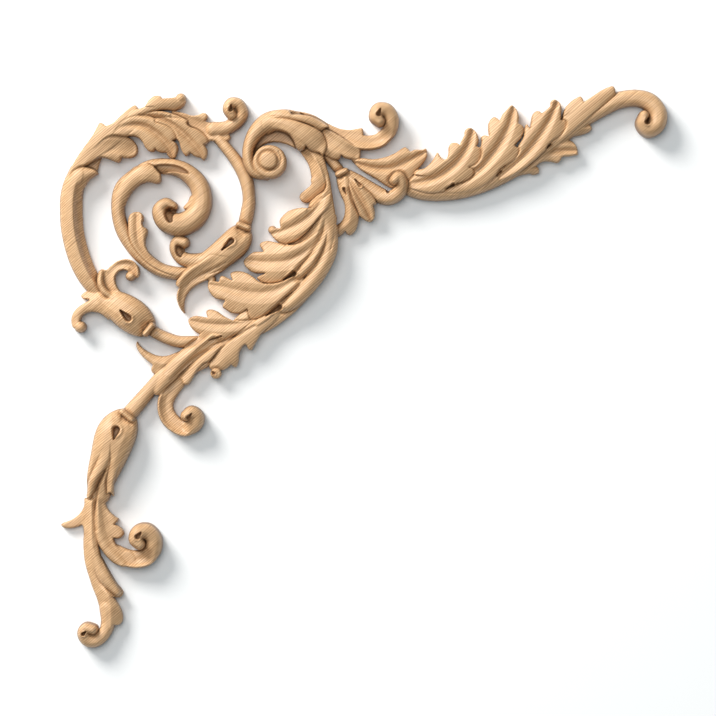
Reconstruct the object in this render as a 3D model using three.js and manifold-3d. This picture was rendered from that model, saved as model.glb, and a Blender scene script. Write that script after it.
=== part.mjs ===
// Carved oak corner applique: an acanthus scroll with two arms, cut from one blank with a flat back.
// Millimetres, +Z up. The flat back lies in the plane y = 0 against the wall, and the carving faces -Y.
import * as THREE from "three";
import { mergeVertices } from "three/addons/utils/BufferGeometryUtils.js";
import Module from "manifold-3d";

// Driving dimensions, in millimetres.
const overallWidth = 364; // from the left curl to the far volute
const reliefDepth = 22; // back to the highest boss
const edgeWall = 4; // least height of any edge above the back
const collarStep = 1.6; // how far a collar stands proud of its stalk
const eyeDepth = 5; // depth of the drilled eyes below the surface round them

// The carver's squared drawing: x runs right and y runs down, in squares.
// A spine point is [x, y, half width, crown], with the crown as a share of the relief depth.
const drawing = { squaresAcross: 607, originX: 305, originY: 262 };
const square = overallWidth / drawing.squaresAcross;

// How finely the forms are cut, in squares and degrees.
const edgeGain = 0.7; // squares added to every half width for the scraped outer edge
const leastHalf = 0.4; // squares: half width of the sharpest tip
const stationReach = 36; // squares: longest step along a straight run
const stationTurn = 32; // degrees that a step may turn on a bend
const samplesPerPoint = 12; // trial places per spine point, from which the stations are chosen
const turnPerPart = 240; // degrees: a scroll is swept in parts no longer than this turn
const partInset = 0.9; // how far a later part tucks inside the one before it
const edgeStep = 0.6; // squares: least progress of an edge from station to station
const edgeDraw = 0.92; // share that an edge keeps each time it is drawn in
const smallTip = 9.5; // squares: a tip of less half width is cut with one step, a larger one with two
const tipArcs = { small: [50], large: [35, 70] }; // degrees round a blunt end
const coilStep = 45; // degrees between the points of a coiled spine
const tipFall = 0.1; // share of its crown that a blunt end loses
const bossFacet = 4.5; // squares: side of a boss's facets
const bossChamfer = 2; // millimetres
const bossTop = 0.8; // share of a boss's radius where its dome begins
const eyeArc = [-100, -50, 0, 50, 100]; // degrees round the blunt end of a drilled eye
const backAllowance = 3; // millimetres of wood behind the back, planed off at the end
const clearance = 2; // millimetres that a cutter runs past the highest boss

// A finger of a lobe: how far back it parts from the lobe, over its distance out; the crowns at its root,
// middle and tip as shares of the lobe's; its least crown; and how much wider it is at its root.
const finger = { lead: 1.8, crowns: [0.6, 0.84, 0.72], leastCrown: 0.32, rootGain: 1.5, samples: 40 };
const firstFinger = 0.05; // share of the lobe's length before which none parts

// Tidying of the facets, in millimetres.
const hair = 0.08; // how far it may move the surface
const tidyPasses = 4;
const leastTurn = 0.5; // cosine of the most that a facet may turn
const sameCorner = 1e-4; // corners closer than this are one
const touch = 0.02; // unjoined corners closer than this are drawn apart
const gapStep = 0.05; // by this much

// Cross sections: columns from the left edge (-1) to the right edge (+1), and the height of each
// as a share of the way from the rim up to the crown.
const sections = {
  round: { columns: [-1, -0.4, 0.4, 1], lift: [0, 0.92, 0.92, 0], rim: [0.5, 0.5] },
  cove: { columns: [-1, -0.55, 0.05, 1], lift: [0, 0.85, 1, 0], rim: [0.55, 0.32] },
  coveLeft: { columns: [-1, -0.05, 0.55, 1], lift: [0, 1, 0.85, 0], rim: [0.32, 0.55] },
  dish: { columns: [-1, -0.55, 0, 0.55, 1], lift: [0.35, 1, 0.1, 1, 0.35], rim: [0.55, 0.55] },
  lip: { columns: [-1, -0.7, 0, 1], lift: [0.6, 1, 0, 0.1], rim: [0.5, 0.45] },
  lipRight: { columns: [-1, 0, 0.7, 1], lift: [0.1, 0, 1, 0.6], rim: [0.45, 0.5] },
  leaf: { columns: [-1, 0, 1], lift: [0, 1, 0], rim: [0.62, 0.62] },
};

// A volute's spine: turns about its centre from one radius to another, one point each coilStep.
// Angles run clockwise on the drawing from its x axis, and sweep is negative for the other hand.
function coil({ centre, radius, from, sweep, half, crown }) {
  const steps = Math.round(Math.abs(sweep) / coilStep);
  return Array.from({ length: steps + 1 }, (_, i) => {
    const t = i / steps;
    const angle = THREE.MathUtils.degToRad(from + sweep * t);
    const r = THREE.MathUtils.lerp(radius[0], radius[1], t);
    return [
      centre[0] + r * Math.cos(angle),
      centre[1] + r * Math.sin(angle),
      THREE.MathUtils.lerp(half[0], half[1], t),
      THREE.MathUtils.lerp(crown[0], crown[1], t),
    ];
  });
}

// The left ring: its stem rises from the lower bud and opens into the top leaf.
const ringScroll = [
  {
    spine: [
      [104, 295, 7, 0.4], [90, 280, 9, 0.5], [79.5, 259, 10, 0.52], [72.5, 232, 10.3, 0.55],
      [71, 205, 10.5, 0.55], [73, 188, 9.5, 0.55], [79, 173, 9.5, 0.54],
    ],
    section: "cove",
  },
  {
    spine: [
      [76, 183, 8, 0.52], [84, 165, 10.5, 0.55], [95, 151, 13, 0.6], [108, 140, 13, 0.63],
      [124, 128, 12, 0.64], [140, 119, 8, 0.62], [152, 113, 5, 0.6],
    ],
  },
  {
    spine: [
      [73, 205, 4, 0.5], [77, 187, 6, 0.52], [86, 177, 6, 0.5], [96, 173.5, 2, 0.42],
    ],
    section: "leaf",
  },
  { spine: [[94, 146, 6, 0.5], [98, 136, 5, 0.46], [100.5, 126, 1.6, 0.38]], section: "leaf" },
  { spine: [[116, 129, 7, 0.5], [127.4, 116, 5, 0.44], [135, 108, 1.6, 0.36]], section: "leaf" },
  {
    spine: [
      [90, 156, 7, 0.5], [108, 150, 8.5, 0.52], [122, 147.5, 7.5, 0.48], [130, 146.5, 7, 0.44],
    ],
    tips: [[116.5, 159, 3]],
  },
];

const topLeaf = [
  {
    spine: [
      [150, 114, 5, 0.6], [172, 121, 7, 0.6], [195, 127, 8, 0.55], [213, 129.5, 7, 0.5],
      [226, 128, 6.3, 0.5], [237, 122, 5.6, 0.52],
      ...coil({
        centre: [235.7, 110.5],
        radius: [7.2, 6.4],
        from: 20,
        sweep: -315,
        half: [5, 4.6],
        crown: [0.56, 0.72],
      }),
    ],
    tips: [[228, 138.5, 4.5]],
  },
  { spine: [[200, 133, 8, 0.45], [213, 135.5, 7, 0.44], [221, 137, 5.5, 0.42]] },
  {
    spine: [
      [150, 114, 5, 0.6], [175, 116, 6.5, 0.55], [192, 118, 6, 0.45], [201, 118, 5, 0.4],
    ],
    section: "leaf",
  },
  {
    spine: [
      [126, 122, 6, 0.62], [142, 113, 8, 0.64], [158, 106, 8.5, 0.6], [172, 104, 7, 0.56],
      [181, 101.5, 4.5, 0.55],
    ],
    tips: [[154, 99.5, 5]],
  },
  {
    spine: [
      [128, 118, 5, 0.64], [152, 117, 6, 0.66], [172, 122, 9, 0.62], [187, 135, 10, 0.56],
      [197, 147, 7.5, 0.46], [203, 156.5, 2.5, 0.36],
    ],
    section: "dish",
    tips: [[188, 123, 5], [205, 139.5, 5.5], [187, 152.5, 4]],
  },
  {
    spine: [
      [112, 130, 6, 0.62], [132, 125, 8, 0.64], [150, 131, 12, 0.62], [163, 142, 10.5, 0.54],
      [172.5, 156.5, 4.5, 0.42],
    ],
    section: "dish",
    tips: [[155, 122.5, 5], [173, 138.5, 5.5], [150, 148, 5]],
  },
];

// The lower bud of the ring, its two curled petals and the stalk to the great leaf.
const lowerBud = [
  {
    spine: [
      [196, 342, 5.5, 0.5], [178, 341.5, 5.3, 0.48], [163, 336.5, 5.2, 0.46], [149, 329, 5, 0.45],
    ],
  },
  {
    spine: [
      [149, 328.5, 8, 0.48], [142, 323, 14, 0.6], [131, 315, 16, 0.68], [118, 306, 14, 0.64],
      [106, 299, 10.5, 0.52],
    ],
  },
  {
    spine: [
      [120, 302, 7, 0.52], [109, 289, 6.8, 0.5], [107.5, 276, 5.8, 0.48], [116, 266, 5.5, 0.48],
      [128, 263.5, 5.4, 0.5], [135, 269, 6, 0.55], [131, 276.5, 4.6, 0.55],
    ],
    section: "coveLeft",
  },
  {
    spine: [
      [110, 295, 3, 0.52], [102, 287, 3.4, 0.55], [101, 277, 3.4, 0.5], [104.5, 271.5, 2.4, 0.42],
    ],
    section: "leaf",
  },
  {
    spine: [
      [112, 306, 8, 0.52], [98, 304, 7, 0.5], [86, 305, 6, 0.48], [78, 312.5, 5, 0.46],
      [77, 321.5, 4.6, 0.5], [81.5, 326, 4.4, 0.52],
    ],
    tips: [[84, 296.5, 3.5]],
  },
];

// The upper bud on the right stalk, its tail and its small curl.
const upperBud = [
  {
    spine: [
      [214, 133, 5, 0.4], [224, 145, 5, 0.48], [237, 162, 5.6, 0.5], [246, 180, 6, 0.52],
      [249, 198, 5.7, 0.52], [247.5, 212, 6.2, 0.52], [244, 227, 6, 0.5],
    ],
  },
  {
    spine: [
      [243.5, 228, 8, 0.48], [240, 236, 12.5, 0.6], [233, 245, 14, 0.68], [221, 255, 13, 0.66],
      [206, 265, 11.5, 0.6], [190, 275, 8, 0.55],
    ],
  },
  {
    spine: [
      [205, 265, 9, 0.56], [191, 277, 7.5, 0.52], [182, 290, 5.5, 0.48], [180.5, 301, 4.2, 0.42],
      [184.5, 313, 0.9, 0.34],
    ],
    section: "coveLeft",
  },
  { spine: [[200, 264, 4, 0.56], [187, 273, 4, 0.56], [178, 285, 1.6, 0.46]], section: "leaf" },
  {
    spine: [
      [212, 258, 7, 0.55], [196, 261, 7, 0.54], [182, 257, 6.2, 0.52], [176, 248, 5.4, 0.52],
      [179.5, 241, 5.6, 0.58], [184.5, 243, 4.4, 0.6],
    ],
  },
];

const innerScroll = [
  {
    spine: [
      [200, 274, 6, 0.45], [178, 273.5, 6, 0.5], [158, 268.5, 6.5, 0.52], [138.5, 252.5, 7, 0.54],
      [123, 231, 6.3, 0.55], [118, 208, 6, 0.56], [122.5, 188, 7, 0.57], [138.5, 174, 7.5, 0.58],
    ],
  },
  {
    spine: [
      [136, 175, 6, 0.56], [148, 168.5, 7, 0.58], [163, 166, 7, 0.58], [183, 170.5, 8, 0.6],
      [198, 184, 9, 0.63], [202, 201, 9.5, 0.67], [196, 216, 10.5, 0.71], [182, 224.5, 11, 0.75],
      [167.5, 222, 10, 0.76], [160, 211, 7, 0.74], [166, 203.8, 5.2, 0.7], [172.5, 206, 4, 0.66],
    ],
  },
  {
    spine: [
      [124, 187, 5, 0.56], [137, 177, 6, 0.58], [149, 175, 6.5, 0.55], [156.5, 180, 3.4, 0.48],
    ],
    section: "leaf",
  },
  {
    spine: [
      [170, 270, 3, 0.48], [148, 257, 6.5, 0.52], [136, 240, 8, 0.52], [132.5, 221, 7.5, 0.42],
    ],
    section: "dish",
    tips: [[140, 218.5, 4]],
  },
  { spine: [[200, 198, 5, 0.6], [187, 210, 2, 0.45]], section: "leaf" },
];

// The great leaf. Its pipes run down from the neck and part into lobes on the left, and each lobe laps
// over the one below.
const greatLeaf = [
  {
    spine: [
      [309, 150, 8, 0.5], [317, 164, 9, 0.52], [320.5, 182, 11, 0.5], [321, 205, 13, 0.46],
      [316, 230, 15, 0.44], [306, 256, 16, 0.42], [291, 281, 17, 0.42], [271, 303, 18, 0.42],
      [250, 320, 18, 0.42], [226, 337, 16, 0.46], [205, 353, 13, 0.46], [188, 368, 11, 0.42],
    ],
  },
  {
    spine: [
      [328, 190, 4, 0.56], [330.5, 215, 4.5, 0.62], [327, 240, 5.5, 0.66], [313, 272, 6.5, 0.68],
      [288, 301, 7, 0.66], [262, 322, 6.5, 0.6], [246, 338, 4, 0.5],
    ],
    section: "leaf",
  },
  { spine: [[318, 172, 5, 0.6], [312, 186, 6, 0.5], [303, 197, 3, 0.38]], section: "leaf" },
  {
    spine: [
      [322, 186, 6, 0.76], [318, 204, 8, 0.84], [305, 221, 12, 0.82], [290, 229, 13, 0.66],
      [279, 234, 8, 0.48],
    ],
    section: "dish",
    tips: [[287, 214.5, 5], [272, 230.5, 4]],
  },
  {
    spine: [
      [323, 202, 7, 0.72], [317, 230, 9, 0.8], [301, 249, 12, 0.76], [280, 258, 14, 0.64],
      [262, 260, 12, 0.54], [251, 263, 7.5, 0.42],
    ],
    section: "dish",
    tips: [[264.5, 246, 5]],
  },
  {
    spine: [
      [323, 216, 6, 0.68], [314, 252, 9, 0.76], [296, 277, 13, 0.74], [268, 289, 17, 0.66],
      [240, 290, 17, 0.54], [218, 288, 10, 0.42],
    ],
    section: "dish",
    tips: [[237, 276, 6], [223, 304, 6], [210, 276.4, 4.6]],
  },
  {
    spine: [
      [320, 238, 6, 0.66], [305, 273, 9, 0.72], [282, 301, 12, 0.68], [252, 317, 15, 0.6],
      [222, 322, 12, 0.5], [200, 321, 8.5, 0.4],
    ],
    section: "dish",
  },
];

// The lower end of the great leaf: two lobes on the right, the flap, the thorn and the volute.
const leafFoot = [
  {
    spine: [
      [275, 312, 8, 0.6], [254, 328, 10, 0.58], [236, 344, 11, 0.52], [222, 359, 9, 0.46],
      [215.5, 369, 5.5, 0.44],
    ],
    section: "dish",
    tips: [[248, 346.5, 2.5], [236, 362.5, 3.5]],
  },
  { spine: [[228, 342, 7, 0.56], [207, 359, 7.5, 0.5], [191.5, 379.5, 5, 0.42]], section: "leaf" },
  { spine: [[228, 326, 8, 0.55], [206, 338, 9, 0.52], [186, 352, 7, 0.46]], section: "leaf" },
  {
    spine: [
      [215, 343, 9, 0.54], [192, 363, 10, 0.5], [174, 384, 8.5, 0.46], [166, 402, 7.6, 0.42],
      [171, 419, 8, 0.44], [184, 427.5, 7.5, 0.48], [195.5, 425.5, 7, 0.54], [197.5, 416.5, 6.5, 0.6],
      [190.5, 413.8, 5.5, 0.64], [185.5, 418.5, 4, 0.66],
    ],
    section: "lip",
  },
  {
    spine: [
      [200, 343, 6, 0.58], [180, 362, 6, 0.56], [164, 382, 6, 0.5], [157.5, 393, 4, 0.42],
    ],
    section: "leaf",
  },
  {
    spine: [
      [199, 352, 7, 0.5], [179, 359, 7, 0.46], [160, 361.5, 6.5, 0.42], [146.5, 354, 4, 0.38],
      [138, 343.5, 1, 0.3],
    ],
    section: "leaf",
    tips: [[153.5, 370, 4]],
  },
];

// The neck arches over and rolls into the great volute, with a cover leaf laid over the arch.
const greatVolute = [
  {
    spine: [
      [321, 180, 10.5, 0.58], [316, 160, 10.5, 0.58], [306, 143, 10, 0.54], [295, 134, 10, 0.48],
      [281, 130, 9, 0.44],
    ],
  },
  {
    spine: [
      [300, 125, 8, 0.62], [284, 119.5, 8.5, 0.7], [267, 122.5, 7.5, 0.72], [254.5, 134, 6, 0.74],
      [248.8, 149, 5.2, 0.76], [250.5, 163, 5.8, 0.78], [259, 172.5, 7.5, 0.8], [271, 172.5, 8, 0.8],
    ],
  },
  {
    spine: [
      [255, 152, 4, 0.24], [263, 139, 6, 0.26], [276, 136, 7, 0.3], [291, 139, 7, 0.38],
      [301, 148, 7, 0.42],
    ],
    section: "leaf",
  },
  {
    spine: [
      [262, 126, 5, 0.7], [283, 123, 9, 0.82], [301, 130, 12, 0.88], [313, 142, 10, 0.84],
      [319, 150, 5, 0.7],
    ],
    section: "dish",
    tips: [[303.5, 147.5, 5], [320, 141, 7]],
  },
  {
    spine: [
      [272, 118, 4, 0.7], [290, 118, 6, 0.78], [308, 121.5, 7, 0.78], [324, 127.5, 3, 0.66],
    ],
    section: "leaf",
  },
];

const upperBranch = [
  {
    spine: [
      [298, 122, 5, 0.44], [318, 128, 6, 0.44], [332, 134, 7, 0.44], [348, 138.5, 7, 0.42],
      [362, 141, 6.5, 0.42],
    ],
  },
  {
    spine: [
      [338, 138, 7, 0.4], [352, 141.5, 7, 0.42], [367, 142.5, 6.6, 0.45], [380, 139.5, 6.6, 0.48],
      [389.5, 131, 6.4, 0.52], [392.4, 120, 6.2, 0.58], [387.5, 110.5, 6.2, 0.64],
      [379, 110.5, 6, 0.7], [374.6, 117, 5.4, 0.74], [378.5, 123.3, 4.6, 0.74],
    ],
    section: "lipRight",
    tips: [[360, 131.5, 3]],
  },
  {
    spine: [
      [318, 130, 8, 0.54], [332, 140, 11, 0.58], [347, 149, 9, 0.54], [355, 153, 5, 0.44],
    ],
    section: "dish",
    tips: [[336, 156.5, 4.5]],
  },
];

const bellFlower = [
  { spine: [[324, 142, 6, 0.42], [334, 160, 5, 0.42], [341, 172, 4.6, 0.42]] },
  { spine: [[341.5, 172, 6.5, 0.42], [347, 184, 10, 0.52], [353, 198, 12, 0.54], [357, 209, 8, 0.46]] },
  {
    spine: [
      [346, 188, 8, 0.54], [350.5, 205, 7, 0.52], [350, 219, 7.5, 0.46], [342, 229, 5, 0.4],
      [329.5, 232, 1.8, 0.34],
    ],
    section: "leaf",
    tips: [[351, 230, 4]],
  },
  { spine: [[350, 184, 7, 0.58], [361, 202, 10, 0.54], [369.5, 216.5, 5, 0.44]], section: "dish" },
  {
    spine: [
      [348, 178, 6, 0.48], [361, 186, 6.5, 0.48], [375, 193.5, 6.5, 0.46], [388, 194.5, 6, 0.48],
      [398, 190.5, 5.5, 0.52], [402.3, 183.5, 4.6, 0.56], [399.5, 177.5, 4.8, 0.62],
      [394.8, 180, 4, 0.62],
    ],
  },
];

// The right arm: a long pipe along the lower edge, with leaves rising from it, each laid over the next.
const rightArm = [
  {
    spine: [
      [346, 161, 4, 0.38], [370, 171, 9, 0.4], [395, 182, 10, 0.42], [420, 189.5, 9, 0.42],
      [445, 191, 9, 0.42], [472, 186, 10, 0.42], [500, 174, 11, 0.4], [528, 155.5, 12, 0.4],
      [555, 136, 12, 0.4], [580, 118.5, 10, 0.42], [602, 106.5, 9, 0.43], [620, 100.5, 8.6, 0.45],
      [637, 99, 8.4, 0.48], [650, 103, 8.5, 0.52], [657.8, 113, 8, 0.56], [656.5, 124, 8, 0.6],
      [648.5, 130, 7.5, 0.66], [641.8, 124, 6, 0.7], [643.5, 117, 4.6, 0.72],
    ],
  },
  {
    spine: [
      [360, 168, 7, 0.5], [386, 172, 12, 0.52], [406, 163, 12, 0.5], [419.5, 155, 6.5, 0.42],
    ],
    section: "dish",
    tips: [[404, 151.5, 4.5]],
  },
  {
    spine: [
      [398, 188, 6, 0.56], [424, 182, 10, 0.62], [447, 168, 14, 0.66], [460, 150, 13, 0.62],
      [468, 136, 6.5, 0.54],
    ],
    section: "dish",
    tips: [[437, 158, 5], [453, 147, 6], [476.5, 149.5, 6.5], [470, 171, 6.5]],
  },
  {
    spine: [
      [432, 191, 6, 0.52], [466, 178.5, 10.5, 0.58], [487.5, 161, 14.5, 0.62], [502, 138, 15, 0.6],
      [509, 119, 9, 0.52], [511.5, 111, 5, 0.48],
    ],
    section: "dish",
    tips: [[485, 141, 6.5], [494, 123, 7], [518, 132, 7.5], [514, 148.5, 6.5]],
  },
  {
    spine: [
      [466, 190, 6, 0.48], [502, 175, 9, 0.54], [525, 155, 12, 0.58], [542, 132, 13, 0.56],
      [551, 113, 7.5, 0.48],
    ],
    section: "dish",
    tips: [[529.5, 133, 6.5], [537.5, 120, 7], [560.5, 124.5, 6]],
  },
  { spine: [[545, 136, 6, 0.5], [562, 117, 8, 0.52], [576, 101, 4, 0.44]], section: "leaf" },
  { spine: [[565, 124, 6, 0.5], [588, 106, 9, 0.52], [609, 91.5, 4, 0.42]], section: "leaf" },
  { spine: [[562, 142, 4, 0.42], [577, 132, 6, 0.4], [587.5, 128.5, 3.2, 0.36]], section: "leaf" },
  {
    spine: [
      [530, 162, 6, 0.44], [552, 151, 10, 0.44], [569, 147, 7.5, 0.38],
    ],
    section: "dish",
    tips: [[556, 158.5, 4]],
  },
  { spine: [[496, 182, 6, 0.42], [518, 174, 5.5, 0.4], [534, 171, 3.2, 0.34]], section: "leaf" },
];

// The lower arm: a rod, a bud with folded petals, a side leaf, a branch with a volute and the tail.
const lowerArm = [
  {
    spine: [
      [168, 367, 4.8, 0.42], [152, 387, 6, 0.46], [139, 402.5, 6.8, 0.48], [127.5, 416, 7.4, 0.48],
    ],
  },
  {
    spine: [
      [126, 415, 9, 0.5], [122, 422, 15.5, 0.6], [116, 436, 19.5, 0.7], [108.5, 457, 17, 0.68],
      [102, 478, 14.5, 0.6], [100, 495, 11, 0.52],
    ],
  },
  { spine: [[112, 462, 8, 0.64], [109, 480, 7, 0.58], [111.5, 494, 2.6, 0.48]], section: "leaf" },
  { spine: [[103, 464, 6, 0.68], [95, 482, 7, 0.64], [89.5, 497, 2.5, 0.5]], section: "leaf" },
  {
    spine: [
      [99, 490, 8, 0.5], [88, 508, 8, 0.46], [76, 520.5, 5.5, 0.4], [63, 524.5, 1.4, 0.32],
    ],
    section: "leaf",
    tips: [[84.5, 525.5, 3.5]],
  },
  {
    spine: [
      [101, 470, 9, 0.62], [100, 495, 8, 0.56], [100, 515, 9, 0.5], [104, 534, 9, 0.46],
      [114, 551, 8.5, 0.42], [130, 558.5, 8, 0.44], [145, 557.5, 8, 0.5], [154, 549, 7.5, 0.56],
      [155, 538, 7, 0.62], [148.5, 530.5, 7, 0.68], [139, 530.5, 6.5, 0.72], [134.8, 538, 5.5, 0.74],
      [139.5, 544, 4.5, 0.72],
    ],
    section: "lip",
    tips: [[113.5, 516, 4], [118, 530.5, 5.5]],
  },
  {
    spine: [
      [91, 518, 6, 0.42], [90.8, 538, 6.5, 0.44], [93, 555, 9, 0.48], [100.5, 574, 12.5, 0.5],
      [107, 594, 10.5, 0.48], [110.5, 610, 9, 0.46], [109, 624, 6.5, 0.44], [104, 634, 5.6, 0.46],
      [96, 640.5, 5.8, 0.5], [88, 640, 6, 0.54], [83.6, 634, 5.6, 0.6], [86.5, 628.3, 5, 0.64],
      [92.5, 628.5, 4.4, 0.66],
    ],
    tips: [[119, 591, 4], [117.5, 620.5, 4]],
  },
];

// Collars between a stalk and its bud: centre, direction along the stalk, half length, half width
// and crown.
const collars = [
  { at: [148, 328.5], toward: [-0.78, -0.62], long: 7.4, short: 3.4, crown: 0.54 },
  { at: [243.5, 228], toward: [-0.36, 0.93], long: 7.4, short: 3.4, crown: 0.56 },
  { at: [342.5, 173.5], toward: [0.42, 0.91], long: 6.6, short: 3.2, crown: 0.5 },
  { at: [126.5, 417.5], toward: [-0.64, 0.77], long: 8.4, short: 2.6, crown: 0.54 },
];

// Round bosses: the stepped eye of the great volute and the balls at curled leaf tips.
const bosses = [
  { at: [270, 161], radius: 15.8, crown: 0.84, dome: 0 },
  { at: [270, 160.5], radius: 8.4, crown: 1, dome: 0.04 },
  { at: [182, 98.5], radius: 4.6, crown: 0.6, dome: 0.1 },
  { at: [469.8, 132], radius: 5.4, crown: 0.62, dome: 0.08 },
  { at: [554, 104.5], radius: 4, crown: 0.54, dome: 0.08 },
  { at: [216, 373], radius: 5, crown: 0.48, dome: 0.06 },
];

// The low flat hearts that close the middle of each coil.
const hearts = [
  { at: [235.5, 110.5], radius: 4.5 },
  { at: [383, 117.5], radius: 6.2 },
  { at: [648.5, 119.5], radius: 7 },
  { at: [143.5, 540], radius: 7.5 },
  { at: [191.5, 420], radius: 5 },
  { at: [90.5, 634], radius: 5 },
  { at: [169, 212], radius: 7 },
  { at: [256.5, 153.5], radius: 5 },
];
const heartCrown = 0.4;

// Drilled eyes: a teardrop pocket from its point to its round end, and the crown of the form it is cut in.
const eyes = [
  { point: [122, 311], round: [129.5, 317.5], half: 3.4, crown: 0.66 },
  { point: [222.5, 250.5], round: [231, 241], half: 3.2, crown: 0.66 },
  { point: [115.5, 438], round: [117, 430], half: 3.4, crown: 0.68 },
  { point: [346, 196], round: [344.5, 189.5], half: 2.2, crown: 0.54 },
  { point: [283, 281], round: [293, 275], half: 2.6, crown: 0.74 },
  { point: [268, 315], round: [281, 305.5], half: 3, crown: 0.68 },
];

// The library that joins and cuts closed meshes.
const wasm = await Module();
wasm.setup();

// Drawing squares and a height above the back, placed in the part's own frame.
function place(x, y, height) {
  return [(x - drawing.originX) * square, -height, (drawing.originY - y) * square];
}

// A closed three.js geometry as a solid.
function solidOf(geometry) {
  geometry.deleteAttribute("normal");
  geometry.deleteAttribute("uv");
  const merged = mergeVertices(geometry, sameCorner);
  const vertProperties = new Float32Array(merged.attributes.position.array);
  const triVerts = new Uint32Array(merged.index.array);
  return new wasm.Manifold(new wasm.Mesh({ numProp: 3, vertProperties, triVerts }));
}

function solidFrom(vertices, triangles) {
  const geometry = new THREE.BufferGeometry();
  geometry.setAttribute("position", new THREE.Float32BufferAttribute(vertices.flat(), 3));
  geometry.setIndex(triangles.flat());
  return solidOf(geometry);
}

function smoothCurve(pairs) {
  return new THREE.CatmullRomCurve3(pairs.map(([a, b]) => new THREE.Vector3(a, b, 0)), false, "catmullrom");
}

// The spine as a smooth curve, with its half width and crown carried along by a second one.
function smoothSpine(points) {
  const line = smoothCurve(points.map(([x, y]) => [x, y]));
  const form = smoothCurve(points.map(([, , half, crown]) => [half, crown]));
  return {
    length: line.getLength(),
    at(t) {
      const { x, y } = line.getPoint(t);
      const tangent = line.getTangent(t);
      const { x: half, y: crown } = form.getPoint(t);
      return { x, y, along: [tangent.x, tangent.y], half: Math.max(half, leastHalf) + edgeGain, crown };
    },
  };
}

function turnBetween([ax, ay], [bx, by]) {
  return Math.abs(Math.atan2(ax * by - ay * bx, ax * bx + ay * by));
}

// Places along a spine, closer together where it bends.
function stepsAlong(spine, samples) {
  const cost = [0];
  for (let i = 1; i <= samples; i += 1) {
    const [a, b] = [spine.at((i - 1) / samples), spine.at(i / samples)];
    const turn = THREE.MathUtils.radToDeg(turnBetween(a.along, b.along));
    const step = Math.hypot(b.x - a.x, b.y - a.y);
    cost.push(cost[i - 1] + step / stationReach + turn / stationTurn);
  }
  const count = Math.max(2, Math.round(cost[samples]));
  return Array.from({ length: count + 1 }, (_, k) => {
    const target = Math.min((k / count) * cost[samples], cost[samples]);
    const next = cost.findIndex((c) => c >= target);
    const i = next < 1 ? (next === 0 ? 1 : samples) : next;
    const t = (i - 1 + (target - cost[i - 1]) / (cost[i] - cost[i - 1])) / samples;
    return THREE.MathUtils.clamp(t, 0, 1);
  });
}

// Stations along a spine, rounded off at the far end.
function stationsOf(points) {
  const spine = smoothSpine(points);
  const stations = stepsAlong(spine, points.length * samplesPerPoint).map(spine.at);
  const end = stations[stations.length - 1];
  for (const degrees of end.half < smallTip ? tipArcs.small : tipArcs.large) {
    const angle = THREE.MathUtils.degToRad(degrees);
    const reach = end.half * Math.sin(angle);
    stations.push({
      ...end,
      x: end.x + end.along[0] * reach,
      y: end.y + end.along[1] * reach,
      half: end.half * Math.cos(angle),
      crown: end.crown * (1 - tipFall * Math.sin(angle)),
    });
  }
  return stations;
}

// The reach of each station to its left and right, drawn in where the inner edge of a bend would fold back.
function edgeReach(stations) {
  const reach = stations.map((s) => ({ "-1": s.half, 1: s.half }));
  const edge = (i, side) => {
    const { x, y, along } = stations[i];
    const offset = reach[i][side] * side;
    return [x - along[1] * offset, y + along[0] * offset];
  };
  let settled = false;
  while (!settled) {
    settled = true;
    for (let i = 0; i + 1 < stations.length; i += 1) {
      for (const side of [-1, 1]) {
        const [ax, ay] = edge(i, side);
        const [bx, by] = edge(i + 1, side);
        const { along } = stations[i];
        const { along: next } = stations[i + 1];
        const progress = (bx - ax) * (along[0] + next[0]) + (by - ay) * (along[1] + next[1]);
        if (progress < edgeStep && reach[i][side] > edgeStep) {
          reach[i][side] *= edgeDraw;
          reach[i + 1][side] *= edgeDraw;
          settled = false;
        }
      }
    }
  }
  return reach;
}

// One closed solid swept over a run of stations: a carved top, upright edges and the flat back.
function sweptSolid(stations, reach, section) {
  const { columns, lift, rim } = section;
  const last = columns.length - 1;
  const vertices = [];
  for (const [i, s] of stations.entries()) {
    const across = [-s.along[1], s.along[0]];
    const crown = Math.max(s.crown * reliefDepth, edgeWall);
    columns.forEach((column, j) => {
      const offset = column * Math.min(s.half, reach[i][column < 0 ? -1 : 1]);
      const rimHeight = Math.max(edgeWall, crown * THREE.MathUtils.lerp(rim[0], rim[1], (column + 1) / 2));
      const height = THREE.MathUtils.lerp(rimHeight, crown, lift[j]);
      vertices.push(place(s.x + across[0] * offset, s.y + across[1] * offset, height));
    });
    for (const j of [0, last]) {
      const top = vertices[vertices.length - (j === 0 ? columns.length : 2)];
      vertices.push([top[0], backAllowance, top[2]]);
    }
  }
  const ring = columns.length + 2; // top columns, then the left and right foot
  const leftFoot = columns.length;
  const rightFoot = columns.length + 1;
  const triangles = [];
  const quad = (a, b, c, d) => triangles.push([a, c, b], [a, d, c]);
  for (let i = 0; i + 1 < stations.length; i += 1) {
    const here = i * ring;
    const next = here + ring;
    for (let j = 0; j < last; j += 1) {
      quad(here + j, next + j, next + j + 1, here + j + 1);
    }
    quad(here + last, next + last, next + rightFoot, here + rightFoot);
    quad(here + rightFoot, next + rightFoot, next + leftFoot, here + leftFoot);
    quad(here + leftFoot, next + leftFoot, next, here);
  }
  const endFan = (base, flip) => {
    const loop = [...columns.keys(), rightFoot, leftFoot];
    for (let k = 1; k + 1 < loop.length; k += 1) {
      const face = [base + loop[0], base + loop[k], base + loop[k + 1]];
      triangles.push(flip ? face : face.reverse());
    }
  };
  endFan(0, false);
  endFan((stations.length - 1) * ring, true);
  return solidFrom(vertices, triangles);
}

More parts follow.
